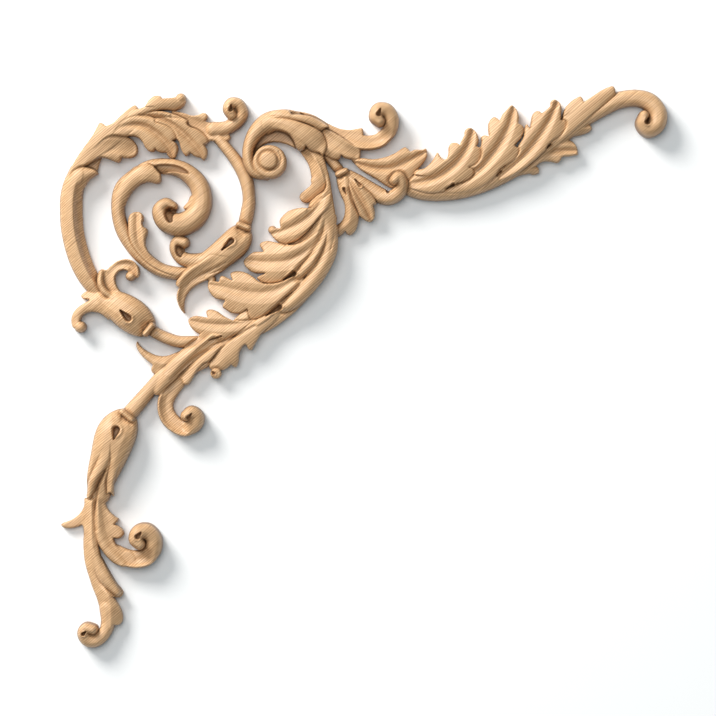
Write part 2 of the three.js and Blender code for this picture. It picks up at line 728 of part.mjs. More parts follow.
// A form in parts short enough that no part of a tight scroll lies over itself.
function formSolids(points, section) {
  const stations = stationsOf(points);
  const reach = edgeReach(stations);
  const solids = [];
  let start = 0;
  let turned = 0;
  for (let i = 1; i < stations.length; i += 1) {
    turned += THREE.MathUtils.radToDeg(turnBetween(stations[i - 1].along, stations[i].along));
    if (turned > turnPerPart || i === stations.length - 1) {
      const run = stations.slice(start, i + 1);
      const [first] = run;
      if (start > 0) {
        run[0] = { ...first, half: first.half * partInset, crown: first.crown * partInset };
      }
      solids.push(sweptSolid(run, reach.slice(start, i + 1), section));
      start = i - 1;
      turned = 0;
    }
  }
  return solids;
}

// A lobe's finger: it leaves the spine along it and bends out to its own rounded tip.
function fingerPoints(points, [tipX, tipY, half]) {
  const spine = smoothSpine(points);
  const samples = Array.from({ length: finger.samples + 1 }, (_, i) => i / finger.samples);
  const distance = (t) => Math.hypot(spine.at(t).x - tipX, spine.at(t).y - tipY);
  const nearest = samples.reduce((best, t) => (distance(t) < distance(best) ? t : best));
  const lead = (finger.lead * distance(nearest)) / spine.length;
  const root = spine.at(Math.max(firstFinger, nearest - lead));
  const reach = Math.hypot(tipX - root.x, tipY - root.y);
  const rootHalf = half * finger.rootGain;
  const inward = Math.max(0, 1 - half / reach);
  const bend = new THREE.QuadraticBezierCurve3(
    new THREE.Vector3(root.x, root.y, 0),
    new THREE.Vector3(root.x + (root.along[0] * reach) / 2, root.y + (root.along[1] * reach) / 2, 0),
    new THREE.Vector3(root.x + (tipX - root.x) * inward, root.y + (tipY - root.y) * inward, 0),
  );
  return finger.crowns.map((share, i) => {
    const t = i / (finger.crowns.length - 1);
    const { x, y } = bend.getPoint(t);
    const crown = Math.max(finger.leastCrown, root.crown * share);
    return [x, y, THREE.MathUtils.lerp(rootHalf, half, t), crown];
  });
}

// A collar is a short rounded bar laid across its stalk, blunt at both ends.
function collarSolids({ at, toward, long, short, crown }) {
  const reach = long - short;
  const top = crown + collarStep / reliefDepth;
  const points = [-1, 0, 1].map((k) => [
    at[0] - toward[1] * reach * k,
    at[1] + toward[0] * reach * k,
    short,
    top,
  ]);
  return [points, [...points].reverse()].flatMap((run) => formSolids(run, sections.leaf));
}

// A turned solid standing on the back, from its half section.
function turnedSolid([x, y], profile, radius) {
  const facets = Math.max(8, Math.round((2 * Math.PI * radius) / bossFacet));
  const foot = [[0, -backAllowance], [radius * square, -backAllowance]];
  const outline = [...foot, ...profile].map(([out, up]) => new THREE.Vector2(out, up));
  const turned = new THREE.LatheGeometry(outline, facets);
  turned.rotateX(Math.PI);
  turned.translate(...place(x, y, 0));
  return solidOf(turned);
}

// A boss has a chamfered rim and a low dome.
function bossSolid({ at, radius, crown, dome }) {
  const height = crown * reliefDepth;
  const shoulder = height - dome * reliefDepth;
  const r = radius * square;
  const chamfer = Math.min(bossChamfer, r / 3);
  return turnedSolid(at, [[r, shoulder - chamfer], [r * bossTop, shoulder], [0, height]], radius);
}

function heartSolid({ at, radius }) {
  const height = heartCrown * reliefDepth;
  return turnedSolid(at, [[radius * square, height], [0, height]], radius);
}

// The cutter for an eye: a teardrop prism from the floor of the pocket up past every surface.
function eyeCutter({ point, round, half, crown }) {
  const floor = crown * reliefDepth - eyeDepth;
  const ceiling = reliefDepth + clearance;
  const axis = [round[0] - point[0], round[1] - point[1]];
  const length = Math.hypot(...axis);
  const along = [axis[0] / length, axis[1] / length];
  const outline = [point];
  for (const degrees of eyeArc) {
    const angle = THREE.MathUtils.degToRad(degrees);
    const forward = Math.cos(angle) * half;
    const side = Math.sin(angle) * half;
    outline.push([
      round[0] + along[0] * forward - along[1] * side,
      round[1] + along[1] * forward + along[0] * side,
    ]);
  }
  const count = outline.length;
  const vertices = [floor, ceiling].flatMap((height) => outline.map(([x, y]) => place(x, y, height)));
  const triangles = [];
  for (let k = 1; k + 1 < count; k += 1) {
    triangles.push([0, k, k + 1], [count, count + k + 1, count + k]);
  }
  for (let k = 0; k < count; k += 1) {
    const next = (k + 1) % count;
    triangles.push([k, count + k, count + next], [k, count + next, next]);
  }
  return solidFrom(vertices, triangles);
}

const scrolls = [ringScroll, topLeaf, lowerBud, upperBud, innerScroll];
const leaves = [greatLeaf, leafFoot, greatVolute, upperBranch, bellFlower];
const arms = [rightArm, lowerArm];

function applique() {
  const forms = [...scrolls, ...leaves, ...arms].flat();
  const solids = forms.flatMap(({ spine, section = "round", tips = [] }) => [
    ...formSolids(spine, sections[section]),
    ...tips.flatMap((tip) => formSolids(fingerPoints(spine, tip), sections.leaf)),
  ]);
  solids.push(...collars.flatMap(collarSolids), ...bosses.map(bossSolid), ...hearts.map(heartSolid));
  const carved = wasm.Manifold.union(solids);
  return carved.intersect(planedBlank()).subtract(wasm.Manifold.union(eyes.map(eyeCutter)));
}

// Everything in front of the planed back.
function planedBlank() {
  const depth = reliefDepth * 2;
  const blank = new THREE.BoxGeometry(overallWidth * 2, depth, overallWidth * 2);
  blank.translate(0, -depth / 2, 0);
  return solidOf(blank);
}

function facesOf(geometry) {
  const corners = Array.from(geometry.index.array);
  return corners.flatMap((_, i) => (i % 3 === 0 ? [corners.slice(i, i + 3)] : []));
}

// The largest connected shell, without the crumbs left inside where surfaces nearly touch.
function mainShell(geometry) {
  const faces = facesOf(geometry);
  const owner = Array.from({ length: geometry.attributes.position.count }, (_, i) => i);
  const shellOf = (corner) => {
    let shell = corner;
    while (owner[shell] !== shell) shell = owner[shell];
    owner[corner] = shell;
    return shell;
  };
  for (const [a, b, c] of faces) {
    owner[shellOf(b)] = shellOf(a);
    owner[shellOf(c)] = shellOf(a);
  }
  const sizes = new Map();
  for (const [a] of faces) {
    sizes.set(shellOf(a), (sizes.get(shellOf(a)) ?? 0) + 1);
  }
  const [largest] = [...sizes.entries()].reduce((best, entry) => (entry[1] > best[1] ? entry : best));
  geometry.setIndex(faces.filter(([a]) => shellOf(a) === largest).flat());
  return geometry;
}

// Folds a corner into its neighbour wherever that moves the carved surface by less than a hair.
function tidyFacets(geometry) {
  const { position } = geometry.attributes;
  const pointAt = (_, i) => new THREE.Vector3().fromBufferAttribute(position, i);
  const points = Array.from({ length: position.count }, pointAt);
  const faces = facesOf(geometry);
  const around = points.map(() => new Set());
  faces.forEach((face, f) => face.forEach((corner) => around[corner].add(f)));
  const doubleArea = ([a, b, c]) => new THREE.Vector3().crossVectors(b.clone().sub(a), c.clone().sub(a));
  const linked = (corner) => {
    const near = [...around[corner]].flatMap((f) => faces[f]);
    return new Set(near.filter((c) => c !== corner));
  };
  const longest = ([a, b, c]) => Math.max(a.distanceTo(b), b.distanceTo(c), c.distanceTo(a));

  const mayFold = (from, into) => {
    const near = linked(into);
    if ([...linked(from)].filter((c) => near.has(c)).length !== 2) return false;
    const shift = points[into].clone().sub(points[from]);
    return [...around[from]].every((f) => {
      const before = faces[f].map((c) => points[c]);
      const normal = doubleArea(before);
      const sliver = normal.length() < hair * longest(before);
      if (!sliver && Math.abs(normal.clone().normalize().dot(shift)) > hair) return false;
      if (faces[f].includes(into)) return true;
      const after = faces[f].map((c) => points[c === from ? into : c]);
      const turned = doubleArea(after);
      if (turned.length() < (hair * longest(after)) / 2) return false;
      return sliver || turned.dot(normal) > leastTurn * turned.length() * normal.length();
    });
  };

  const fold = (from, into) => {
    for (const f of around[from]) {
      if (faces[f].includes(into)) {
        const others = faces[f].filter((c) => c !== from);
        others.forEach((c) => around[c].delete(f));
        faces[f] = [];
      } else {
        faces[f] = faces[f].map((c) => (c === from ? into : c));
        around[into].add(f);
      }
    }
    around[from].clear();
  };

  for (let pass = 0; pass < tidyPasses; pass += 1) {
    const edges = faces.flatMap((face) => face.map((c, k) => [c, face[(k + 1) % 3]]));
    const lengthOf = ([a, b]) => points[a].distanceTo(points[b]);
    edges.sort((a, b) => lengthOf(a) - lengthOf(b));
    for (const [from, into] of edges) {
      const stillLinked = around[from].size > 0 && linked(from).has(into);
      if (stillLinked && mayFold(from, into)) fold(from, into);
    }
  }
  drawApart(points, linked);
  points.forEach((p, i) => position.setXYZ(i, p.x, p.y, p.z));
  geometry.setIndex(faces.flat());
  return geometry;
}

// Where two surfaces touch at a corner without being joined, each draws back towards its neighbours.
function drawApart(points, linked) {
  const used = [...points.keys()].filter((i) => linked(i).size > 0);
  used.sort((a, b) => points[a].x - points[b].x);
  const touching = new Set();
  used.forEach((a, k) => {
    for (let m = k + 1; m < used.length && points[used[m]].x - points[a].x < touch; m += 1) {
      if (points[a].distanceTo(points[used[m]]) < touch) {
        touching.add(a).add(used[m]);
      }
    }
  });
  const moves = [...touching].map((i) => {
    const near = [...linked(i)].map((n) => points[n]);
    const middle = near.reduce((sum, p) => sum.add(p), new THREE.Vector3()).divideScalar(near.length);
    return [i, middle.sub(points[i]).setLength(gapStep)];
  });
  for (const [i, move] of moves) {
    const onBack = points[i].y === 0;
    points[i].add(new THREE.Vector3(move.x, onBack ? 0 : move.y, move.z));
  }
}

function meshFrom(solid, name, material) {
  const { vertProperties, triVerts } = solid.getMesh();
  const joined = new THREE.BufferGeometry();
  joined.setAttribute("position", new THREE.BufferAttribute(new Float32Array(vertProperties), 3));
  joined.setIndex(new THREE.BufferAttribute(new Uint32Array(triVerts), 1));
  const carving = mainShell(tidyFacets(joined));
  carving.computeVertexNormals();
  const mesh = new THREE.Mesh(carving, material);
  mesh.name = name;
  return mesh;
}

const oak = new THREE.MeshStandardMaterial({ color: 0xd3a679, roughness: 0.62, metalness: 0 });
const cornerApplique = new THREE.Group();
cornerApplique.add(meshFrom(applique(), "corner_applique", oak));
export default cornerApplique;
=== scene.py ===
import math

import bmesh
import bpy
import numpy as np
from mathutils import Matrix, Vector


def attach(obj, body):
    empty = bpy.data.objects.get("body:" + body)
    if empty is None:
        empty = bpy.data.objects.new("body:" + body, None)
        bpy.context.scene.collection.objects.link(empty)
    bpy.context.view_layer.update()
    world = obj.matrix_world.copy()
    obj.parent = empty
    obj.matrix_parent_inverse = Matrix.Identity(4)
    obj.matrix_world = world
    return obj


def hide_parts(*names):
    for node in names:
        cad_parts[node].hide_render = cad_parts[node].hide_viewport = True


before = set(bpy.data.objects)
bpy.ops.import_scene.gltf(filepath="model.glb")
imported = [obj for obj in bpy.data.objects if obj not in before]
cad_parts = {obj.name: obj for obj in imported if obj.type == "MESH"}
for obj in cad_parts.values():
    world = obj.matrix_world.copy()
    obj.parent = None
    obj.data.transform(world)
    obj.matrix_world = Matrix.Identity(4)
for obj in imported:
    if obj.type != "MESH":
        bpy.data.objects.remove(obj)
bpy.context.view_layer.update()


# the carver's squared drawing: x runs right, y runs down, one square is about 0.6 mm
drawing = {
    "square": 364 / 607,  # mm
    "originX": 305,
    "originY": 262,
    "left": 50,
    "top": 78,
    "right": 676,
    "bottom": 656,
    "fine": 3,  # cells to a square while the relief is worked out
}

relief = {
    "depth": 22.0,  # mm, back to the highest boss
    "edge": 4.0,  # mm, lowest edge of a form
    "floor": 3.2,  # mm, lowest that the ground is cut back or gouged
    "leastCrown": 5.0,  # mm
    "stations": 1.2,  # to a square along a line
    "fewestStations": 3,  # between two points of a line
    "slimmest": 0.4,  # squares, half width
    "stemGain": 0.7,  # squares added to every half width
    "blend": 0.9,  # mm, softness where two forms join
    "under": 1.6,  # mm, how far the ground is cut back beside a form laid over it
    "underWidth": 2.0,  # squares
    "underReach": 4.0,  # squares
    "margin": 5,  # squares looked at round a blade or hollow
    "roll": 1.25,  # mm that the edge of a blade rolls off
    "rollWidth": 0.75,  # squares
    "rollReach": 1.2,
    "rollPower": 1.5,
}

# cross sections: place from the left edge (-1) to the right edge (1), height as a share of the
# crown
sections = {
    "round": [(-1, 0.5), (-0.95, 0.64), (-0.85, 0.78), (-0.6, 0.93), (-0.25, 1), (0.25, 1),
              (0.6, 0.93), (0.85, 0.78), (0.95, 0.64), (1, 0.5)],
    "cove": [(-1, 0.5), (-0.95, 0.64), (-0.8, 0.79), (-0.4, 0.94), (0, 1), (0.24, 1), (0.31, 0.92),
             (0.42, 0.7), (0.62, 0.48), (0.9, 0.36), (1, 0.3)],
    "lipRight": [(-1, 0.5), (-0.85, 0.66), (-0.5, 0.7), (0, 0.68), (0.5, 0.8), (0.7, 0.97),
                 (0.82, 1), (0.94, 0.9), (1, 0.72)],
    "disc": [(-1, 0.84), (-0.96, 0.91), (-0.88, 0.965), (-0.7, 0.985), (0, 1), (0.7, 0.985),
             (0.88, 0.965), (0.96, 0.91), (1, 0.84)],
    "ball": [(-1, 0.55), (-0.95, 0.7), (-0.8, 0.84), (-0.45, 0.97), (0, 1), (0.45, 0.97),
             (0.8, 0.84), (0.95, 0.7), (1, 0.55)],
    "flute": [(-1, 0.8), (-0.6, 0.93), (-0.2, 0.99), (0, 1), (0.2, 0.99), (0.6, 0.93), (1, 0.8)],
    # leaf blades: these carry on past their veins, and the outline alone rolls off
    "valley": [(-1.6, 0.8), (-1, 0.93), (-0.6, 1), (-0.3, 0.95), (-0.08, 0.8), (0.08, 0.78),
               (0.3, 0.92), (0.6, 1), (1, 0.96), (1.6, 0.84)],
    "leaf": [(-1.6, 0.76), (-1, 0.92), (-0.6, 1), (-0.25, 0.97), (0.05, 0.87), (0.2, 0.86),
             (0.45, 0.95), (0.75, 1), (1, 0.96), (1.6, 0.82)],
    "bowl": [(-1.6, 0.84), (-1, 0.97), (-0.8, 1), (-0.3, 0.92), (0.2, 0.91), (0.7, 0.98), (1, 0.96),
             (1.6, 0.84)],
    "ridge": [(-1.6, 0.66), (-1, 0.82), (-0.4, 0.95), (-0.08, 1), (0.08, 1), (0.4, 0.9), (1, 0.7),
              (1.6, 0.5)],
    "swell": [(-1.6, 0.7), (-1, 0.88), (-0.5, 0.97), (0, 1), (0.5, 0.96), (1, 0.85), (1.6, 0.66)],
    "crease": [(-1.6, 0.52), (-1, 0.72), (-0.4, 0.9), (-0.06, 1), (0.06, 1), (0.4, 0.82), (1, 0.58),
               (1.6, 0.42)],
    "sunk": [(-1.6, 0.9), (-1, 1), (-0.7, 0.98), (-0.4, 0.84), (0, 0.78), (0.4, 0.8), (0.8, 0.9),
             (1.6, 0.9)],
    "highRight": [(-1.6, 0.66), (-1, 0.74), (-0.4, 0.72), (0.1, 0.78), (0.5, 0.95), (0.75, 1),
                  (1, 0.98), (1.6, 0.8)],
}

# Each form is a line or a blade. A line has (x, y, half width, crown as a share of the depth). A
# blade has an edge, a closed outline where a third number marks a corner, and a vein, which is
# such a line and gives its height. cut is the cross section. over lays the form on what is below
# it, faded in along that share of its length.
ringScroll = [
    {"line": [(104, 295, 7, 0.4), (90, 280, 9, 0.5), (79.5, 259, 10, 0.54), (72.5, 232, 10.3, 0.58),
              (71, 205, 10.5, 0.6), (73, 188, 10, 0.6), (79, 173, 9.5, 0.6)], "cut": "cove"},
    {"edge": [(66, 190, 0), (69, 174), (76, 160), (85, 147), (93, 136), (97.6, 127.5),
              (100.4, 123.2), (104, 124.4), (106.6, 126.6, 0), (113, 124), (121, 116.6),
              (129, 109.2), (135.2, 105.6), (137.4, 107.4), (138.6, 109.8, 0), (145, 107.6),
              (156, 108), (158, 118), (140, 128), (126, 138), (110, 150), (96, 160), (84, 167, 0),
              (82, 182)],
     "vein": [(76, 190, 9, 0.56), (84, 166, 12, 0.6), (98, 148, 14, 0.66), (118, 131, 14, 0.7),
              (138, 118, 11, 0.68), (152, 112, 8, 0.62)], "cut": "swell"},
    {"edge": [(82, 168, 0), (92, 160), (101.6, 157.6, 0), (99.5, 163), (97, 172, 0), (88, 176)],
     "vein": [(84, 170, 8, 0.34), (98, 164, 8, 0.26)], "cut": "bowl"},
    {"edge": [(96, 148, 0), (106, 139), (114, 136), (122.4, 136.6), (130, 138), (135.6, 143.4),
              (138, 150), (135.4, 155.8), (130, 158), (124.6, 158.2), (121.5, 157.2, 0),
              (120.6, 161.2), (117.6, 162.7), (112, 160.6), (105, 158), (98, 158), (91, 161),
              (84, 166.4, 0), (86, 156)],
     "vein": [(84, 160, 8, 0.58), (104, 149, 9, 0.6), (120, 148, 10, 0.54), (134, 150, 8, 0.42)],
     "cut": "bowl", "over": 1},
    {"edge": [(62, 214, 0), (64, 190), (72, 174), (79, 168), (83.6, 166.6), (90, 167.8), (95, 170),
              (98.6, 173.4, 0), (93.5, 176.8), (87.6, 181.8), (83.4, 189.6), (81.2, 199, 0),
              (74.5, 206), (72, 216)],
     "vein": [(68, 214, 9, 0.6), (72.5, 192, 9, 0.61), (81, 176.5, 8, 0.62), (95, 172.5, 4, 0.52)],
     "cut": "swell", "over": 0.95},
]

topLeaf = [
    {"line": [(213, 129.5, 7, 0.5), (226, 128, 6.3, 0.5), (237, 122, 5.6, 0.54),
              (242.6, 113, 5.2, 0.6), (239, 104.6, 5, 0.66), (231.5, 103.4, 5, 0.7),
              (228.2, 109.5, 4.8, 0.72), (232.4, 116, 4.4, 0.72)]},
    {"edge": [(172, 111, 0), (184, 113.4), (192, 115.8), (199, 115), (203, 113.2), (206.6, 114),
              (207.8, 117), (204.5, 121.3, 0), (214, 123.6), (222, 123.6), (230, 119), (236, 126),
              (229, 134.4, 0), (230.8, 137.5), (227.6, 141), (220, 142.4), (210, 141), (203, 146),
              (188, 130), (172, 120)],
     "vein": [(160, 112, 8, 0.56), (178, 118, 11, 0.54), (200, 127, 12, 0.46), (226, 132, 9, 0.46)],
     "cut": "sunk"},
    {"edge": [(130, 124, 0), (140, 116), (150, 112.8), (162, 111.8), (176, 115.3), (188, 120.8, 0),
              (187.4, 124.6), (191, 127.6, 0), (198, 130), (204.5, 135), (208.4, 140),
              (206.8, 143.6), (204, 144.8, 0), (207.4, 150), (207, 155.5), (203.8, 160.3),
              (200.3, 157.6), (195, 156.4), (190, 152.6, 0), (188.6, 155.2), (185, 155.6),
              (181.8, 150.5), (178.4, 140.8), (168, 132), (150, 124)],
     "vein": [(124, 124, 8, 0.62), (142, 117, 7, 0.66), (158, 117.5, 8, 0.67), (173, 125, 10, 0.65),
              (186, 136, 12, 0.6), (196, 147, 11, 0.53), (203.4, 158, 7, 0.42)], "cut": "valley",
     "over": 0.65},
    {"edge": [(112, 136, 0), (124, 122), (140, 115.8), (150, 116.6), (156.4, 119.6, 0),
              (155.4, 122.6), (160.4, 124.2, 0), (167, 126.4), (173.5, 131), (177, 138),
              (174.6, 140.3), (172, 140.5, 0), (176.8, 144), (178.2, 149.5), (175.8, 157),
              (172.6, 158.9), (168.6, 156.4), (166.4, 152.4, 0), (161, 152.6), (157, 151),
              (155.4, 148.2, 0), (154, 151.2), (150.4, 151.8), (146.4, 148.8), (141.5, 140.6),
              (134, 136.4), (122.4, 136.2, 0)],
     "vein": [(106, 138, 8, 0.66), (124, 127, 9, 0.7), (142, 125.5, 10, 0.7),
              (156, 133, 12.5, 0.67), (167, 144.5, 12, 0.58), (173, 156.5, 7, 0.46)],
     "cut": "valley", "over": 0.65},
    {"edge": [(124, 124, 0), (132, 112), (139, 109.8), (145, 107.4), (149, 101.2), (154, 96.8),
              (160, 96.3), (162.8, 99.2, 0), (170, 98.3), (178, 97.4), (184.6, 97.6),
              (185.8, 101.6), (182, 107.6), (175, 110.9, 0), (164, 110.2), (152, 111.8),
              (142, 115.6, 0)],
     "vein": [(118, 124, 8, 0.68), (138, 113.5, 8, 0.7), (156, 105, 8, 0.69), (170, 103.5, 7, 0.62),
              (182, 102, 6, 0.5)], "cut": "swell", "over": 0.8},
]

lowerBud = [
    {"line": [(196, 342, 5.5, 0.5), (178, 341.5, 5.3, 0.48), (163, 336.5, 5.2, 0.46),
              (149, 329, 5, 0.45)]},
    {"edge": [(110, 296, 0), (104, 290), (94, 289.8), (88, 291), (84, 292.6), (80.8, 296),
              (83, 299, 0), (90, 300), (82.4, 304.4), (76, 309.4), (72.2, 315.5), (71.4, 321.6),
              (73.6, 328), (81, 327), (80.4, 320.6, 0), (82, 316.6), (86.4, 313.2), (93, 312),
              (101, 314), (110, 320), (120, 314)],
     "vein": [(118, 307, 10, 0.6), (104, 304, 9, 0.54), (90, 305, 8, 0.48), (79, 313, 6, 0.46),
              (77, 324, 5, 0.46)], "cut": "swell"},
    {"edge": [(116, 300, 0), (104, 294), (100, 286.6), (98, 278.6), (98.8, 272.4), (102, 269.2),
              (106.6, 270), (111, 266), (117, 261.6), (124, 259.4), (131, 260), (136.4, 264),
              (139.6, 270), (138.8, 276.4), (134, 278), (128, 271, 0), (123.6, 270), (118.8, 271.8),
              (115.4, 277), (116.2, 284), (120, 291), (128, 296.6, 0)],
     "vein": [(122, 303, 8, 0.62), (111.5, 293, 8, 0.56), (107, 282, 8, 0.54),
              (110.5, 271, 7, 0.54), (120, 264.4, 5.4, 0.56), (131, 265.4, 5.4, 0.6),
              (134, 274, 5, 0.6)], "cut": "sunk"},
    {"line": [(144.4, 325.4, 9, 0.5), (140, 322, 14, 0.66), (131, 315, 16.4, 0.76),
              (118, 306, 14, 0.7), (104, 299, 9, 0.54)], "cut": "ball"},
    {"line": [(112, 297, 2.4, 0.6), (104.4, 291, 2.8, 0.62), (100.6, 282, 2.7, 0.6),
              (101.4, 273, 2.2, 0.54)], "cut": "ball", "over": 0.2},
]

upperBud = [
    {"line": [(214, 133, 5, 0.4), (224, 145, 5, 0.48), (237, 162, 5.6, 0.52), (246, 180, 6, 0.54),
              (249, 198, 5.7, 0.54), (247.5, 212, 6.2, 0.54), (244, 227, 6, 0.5)]},
    {"line": [(212, 258, 7, 0.55), (196, 261, 7, 0.54), (182, 258, 6.2, 0.52),
              (175.4, 249, 5.2, 0.54), (177.5, 241.6, 5.2, 0.6), (184.4, 242.6, 5, 0.64)]},
    {"line": [(241.4, 233, 8.4, 0.5), (239, 238, 12.5, 0.66), (233, 245, 14, 0.76),
              (221, 255, 13, 0.72), (206, 264, 10.5, 0.62), (194, 270, 7, 0.54)], "cut": "ball"},
    {"edge": [(238, 258, 0), (224, 270), (209, 278.8), (197, 284.8), (189.6, 290.8), (185.4, 298),
              (184.2, 306), (185, 314.4, 0), (181, 309.8), (178, 303.6), (176.7, 297), (177.8, 291),
              (179.4, 287.6, 0), (176.2, 285.6), (176.4, 281.6), (180.5, 275.6), (187, 270.2),
              (197, 264.6), (212, 255, 0)],
     "vein": [(232, 252, 12, 0.72), (213, 265, 11, 0.66), (196, 274.5, 8.5, 0.58),
              (184, 286, 6.4, 0.5), (180.6, 300, 4.5, 0.42), (184.4, 313, 2, 0.32)],
     "cut": "highRight", "over": 0.6},
]

innerScroll = [
    {"line": [(200, 274, 6, 0.45), (178, 273.5, 6, 0.5), (158, 268.5, 6.5, 0.54),
              (138.5, 252.5, 7, 0.56), (123, 231, 6.3, 0.57), (118, 208, 6, 0.58),
              (122.5, 188, 7, 0.6), (138.5, 174, 7.5, 0.6)]},
    {"line": [(136, 175, 6, 0.56), (148, 168.5, 7, 0.6), (163, 166, 7, 0.6), (183, 170.5, 8, 0.62),
              (198, 184, 9, 0.65), (202, 201, 9.5, 0.69), (196, 216, 10.5, 0.73),
              (182, 224.5, 11, 0.78), (167.5, 222, 10, 0.8), (160, 211, 7, 0.78),
              (166, 203.8, 5.2, 0.74), (173, 206.5, 4.4, 0.7)]},
    {"edge": [(112, 216, 0), (113, 202), (118, 188), (128, 175), (139, 167), (148, 164.5),
              (154.6, 166.4, 0), (158.8, 171), (161, 176), (160.8, 182), (157, 183.8), (153, 183),
              (148, 182.3), (142, 184), (135, 189), (129, 197), (125, 206), (123.8, 219, 0)],
     "vein": [(118, 216, 6, 0.58), (121.6, 196, 7, 0.6), (133, 180, 8.5, 0.64),
              (146, 174.5, 9, 0.66), (158, 176, 8, 0.58)], "cut": "swell", "over": 0.35},
    {"edge": [(128.6, 218.6, 0), (130.5, 214.6), (135, 212.2), (139.6, 212.4), (143, 215),
              (143.6, 219.6), (142, 222.6, 0), (143.4, 226.6), (147.6, 229.4), (147.4, 234),
              (145.6, 240), (145.8, 246), (149, 252.5), (156, 259.5), (165, 265), (175, 268),
              (188, 270, 0), (180, 277), (165, 273), (150, 265), (138, 253), (131, 241),
              (128.6, 229)],
     "vein": [(186, 272.5, 5, 0.5), (166, 268.5, 6, 0.54), (149, 259, 7.5, 0.58),
              (138.6, 245, 8.5, 0.6), (136, 230, 8.5, 0.58), (136, 214, 7, 0.5)], "cut": "leaf",
     "over": 0.3},
    {"edge": [(196, 196, 0), (190.6, 196), (188, 202), (184, 206.4), (184, 209.2), (187.4, 209.6),
              (190, 212, 0), (198, 210)],
     "vein": [(200, 198, 7, 0.62), (186, 208, 4, 0.46)], "cut": "swell"},
]

# the great leaf: its ground first, then the lobes from the lowest to the highest, then the pipes
# along its margin
greatLeaf = [
    {"edge": [(298, 149, 0), (308, 146), (321, 150), (324.5, 160), (329, 175), (331.6, 190),
              (333.6, 203), (335.8, 218), (335.4, 228), (333.6, 240), (330, 256), (325, 269),
              (318.4, 283), (310, 295.6), (300, 307), (288, 317.6), (275, 327), (262, 334),
              (248, 340), (228, 352), (206, 368, 0), (182, 378), (176, 366), (182, 350), (196, 341),
              (207, 334), (225, 325), (236, 318), (250, 300), (262, 284), (272, 266), (288, 246),
              (300, 228), (308, 208), (312, 194), (311.4, 178), (308, 164)],
     "vein": [(311, 146, 9, 0.54), (318, 164, 9, 0.64), (322, 184, 10, 0.72), (324, 206, 11, 0.78),
              (318, 236, 14, 0.76), (302, 266, 17, 0.68), (278, 294, 19, 0.6), (248, 318, 18, 0.54),
              (216, 343, 16, 0.5), (188, 366, 13, 0.44)], "cut": "ridge"},
    {"edge": [(276, 306, 0), (262, 317), (246, 320.4), (233, 320.6, 0), (224, 316.2),
              (217.4, 311.5), (211, 309.5), (206.4, 311.2), (208, 317.8, 0), (196, 316),
              (188.6, 319.2), (190, 325.6), (194.6, 331.2), (199.6, 335.4), (190, 343),
              (180, 352, 0), (206, 348), (232, 337), (254, 328), (272, 316)],
     "vein": [(304, 286, 8, 0.6), (278, 308, 9, 0.62), (252, 322, 9.5, 0.58), (226, 326, 10, 0.53),
              (206, 325, 9, 0.47), (192, 322, 7, 0.4)], "cut": "leaf", "over": 0.6},
    {"edge": [(304, 268, 0), (284, 281), (268, 284), (259.4, 282, 0), (251, 275.4), (243, 271.8),
              (235.4, 271.4), (230.6, 273.8), (233, 281, 0), (222, 275.8), (219, 282, 0),
              (209.2, 281), (208, 287), (210.6, 293.4), (215.4, 298.4), (225.4, 300.4, 0),
              (222.6, 306.6), (227, 310.4), (233, 313.4), (241, 313), (247.4, 309, 0),
              (250.4, 319.8, 0), (260, 318), (270, 310), (284, 298), (302, 284)],
     "vein": [(325, 236, 7, 0.66), (314, 262, 9, 0.72), (296, 281, 12, 0.72), (270, 294, 15, 0.66),
              (244, 294, 15, 0.58), (224, 289, 12, 0.51), (210, 286, 8, 0.44)], "cut": "leaf",
     "over": 0.6},
    {"edge": [(320, 230, 0), (306, 240), (295, 244.8), (285.2, 244.9, 0), (277, 242.8),
              (268.4, 241.2), (262.2, 242.2), (259.8, 245.4), (264, 252, 0), (254, 252.2),
              (248.2, 256.2), (243.8, 260.6), (245, 265.6), (249.2, 270.2), (255, 272.9),
              (266.6, 273.2, 0), (257.4, 277.4), (259.4, 280.8), (264.4, 283.2), (272, 283.5),
              (282, 281), (292, 275.4, 0), (302, 268), (316, 252)],
     "vein": [(327, 212, 6, 0.68), (322, 234, 8, 0.78), (308, 252, 11, 0.78),
              (288, 262.5, 13, 0.72), (266, 264, 12.5, 0.61), (251, 262, 9, 0.5)], "cut": "leaf",
     "over": 0.6},
    {"edge": [(331, 194, 0), (318, 202), (311, 209, 0), (302, 208.3), (294, 209.5), (288, 211.8),
              (283, 216), (280, 220.6), (280.6, 228.6, 0), (271.4, 229), (271, 233.6),
              (274.4, 238.8), (279.4, 242.8), (285.4, 245.2, 0), (298, 240), (309, 230), (320, 217),
              (330, 206)],
     "vein": [(326, 176, 7, 0.72), (326, 195, 8, 0.82), (316, 212, 10, 0.86), (302, 224, 12, 0.78),
              (287, 231, 11, 0.64), (274, 235, 8, 0.5)], "cut": "leaf", "over": 0.6},
    {"edge": [(324, 168, 0), (311.8, 178), (311, 185), (306, 189.6), (301.2, 193.4), (299.6, 197),
              (301, 200.6), (304.6, 202.6), (309, 202.4), (316, 197), (326, 188)],
     "vein": [(322, 172, 8, 0.64), (315, 186, 8, 0.6), (303, 198, 5, 0.46)], "cut": "swell",
     "over": 0.4},
    {"line": [(331, 218, 5, 0.74), (327, 240, 6.5, 0.79), (317, 257, 6.5, 0.78),
              (306, 268.5, 5.5, 0.74), (298.6, 275.4, 4, 0.68)], "cut": "flute", "over": 0.3},
    {"line": [(333, 228, 4, 0.66), (330, 250, 6.5, 0.73), (320, 271, 7, 0.74), (305, 290, 7, 0.71),
              (291, 303, 6, 0.66), (283.6, 308, 4, 0.6)], "cut": "flute", "over": 0.3},
]

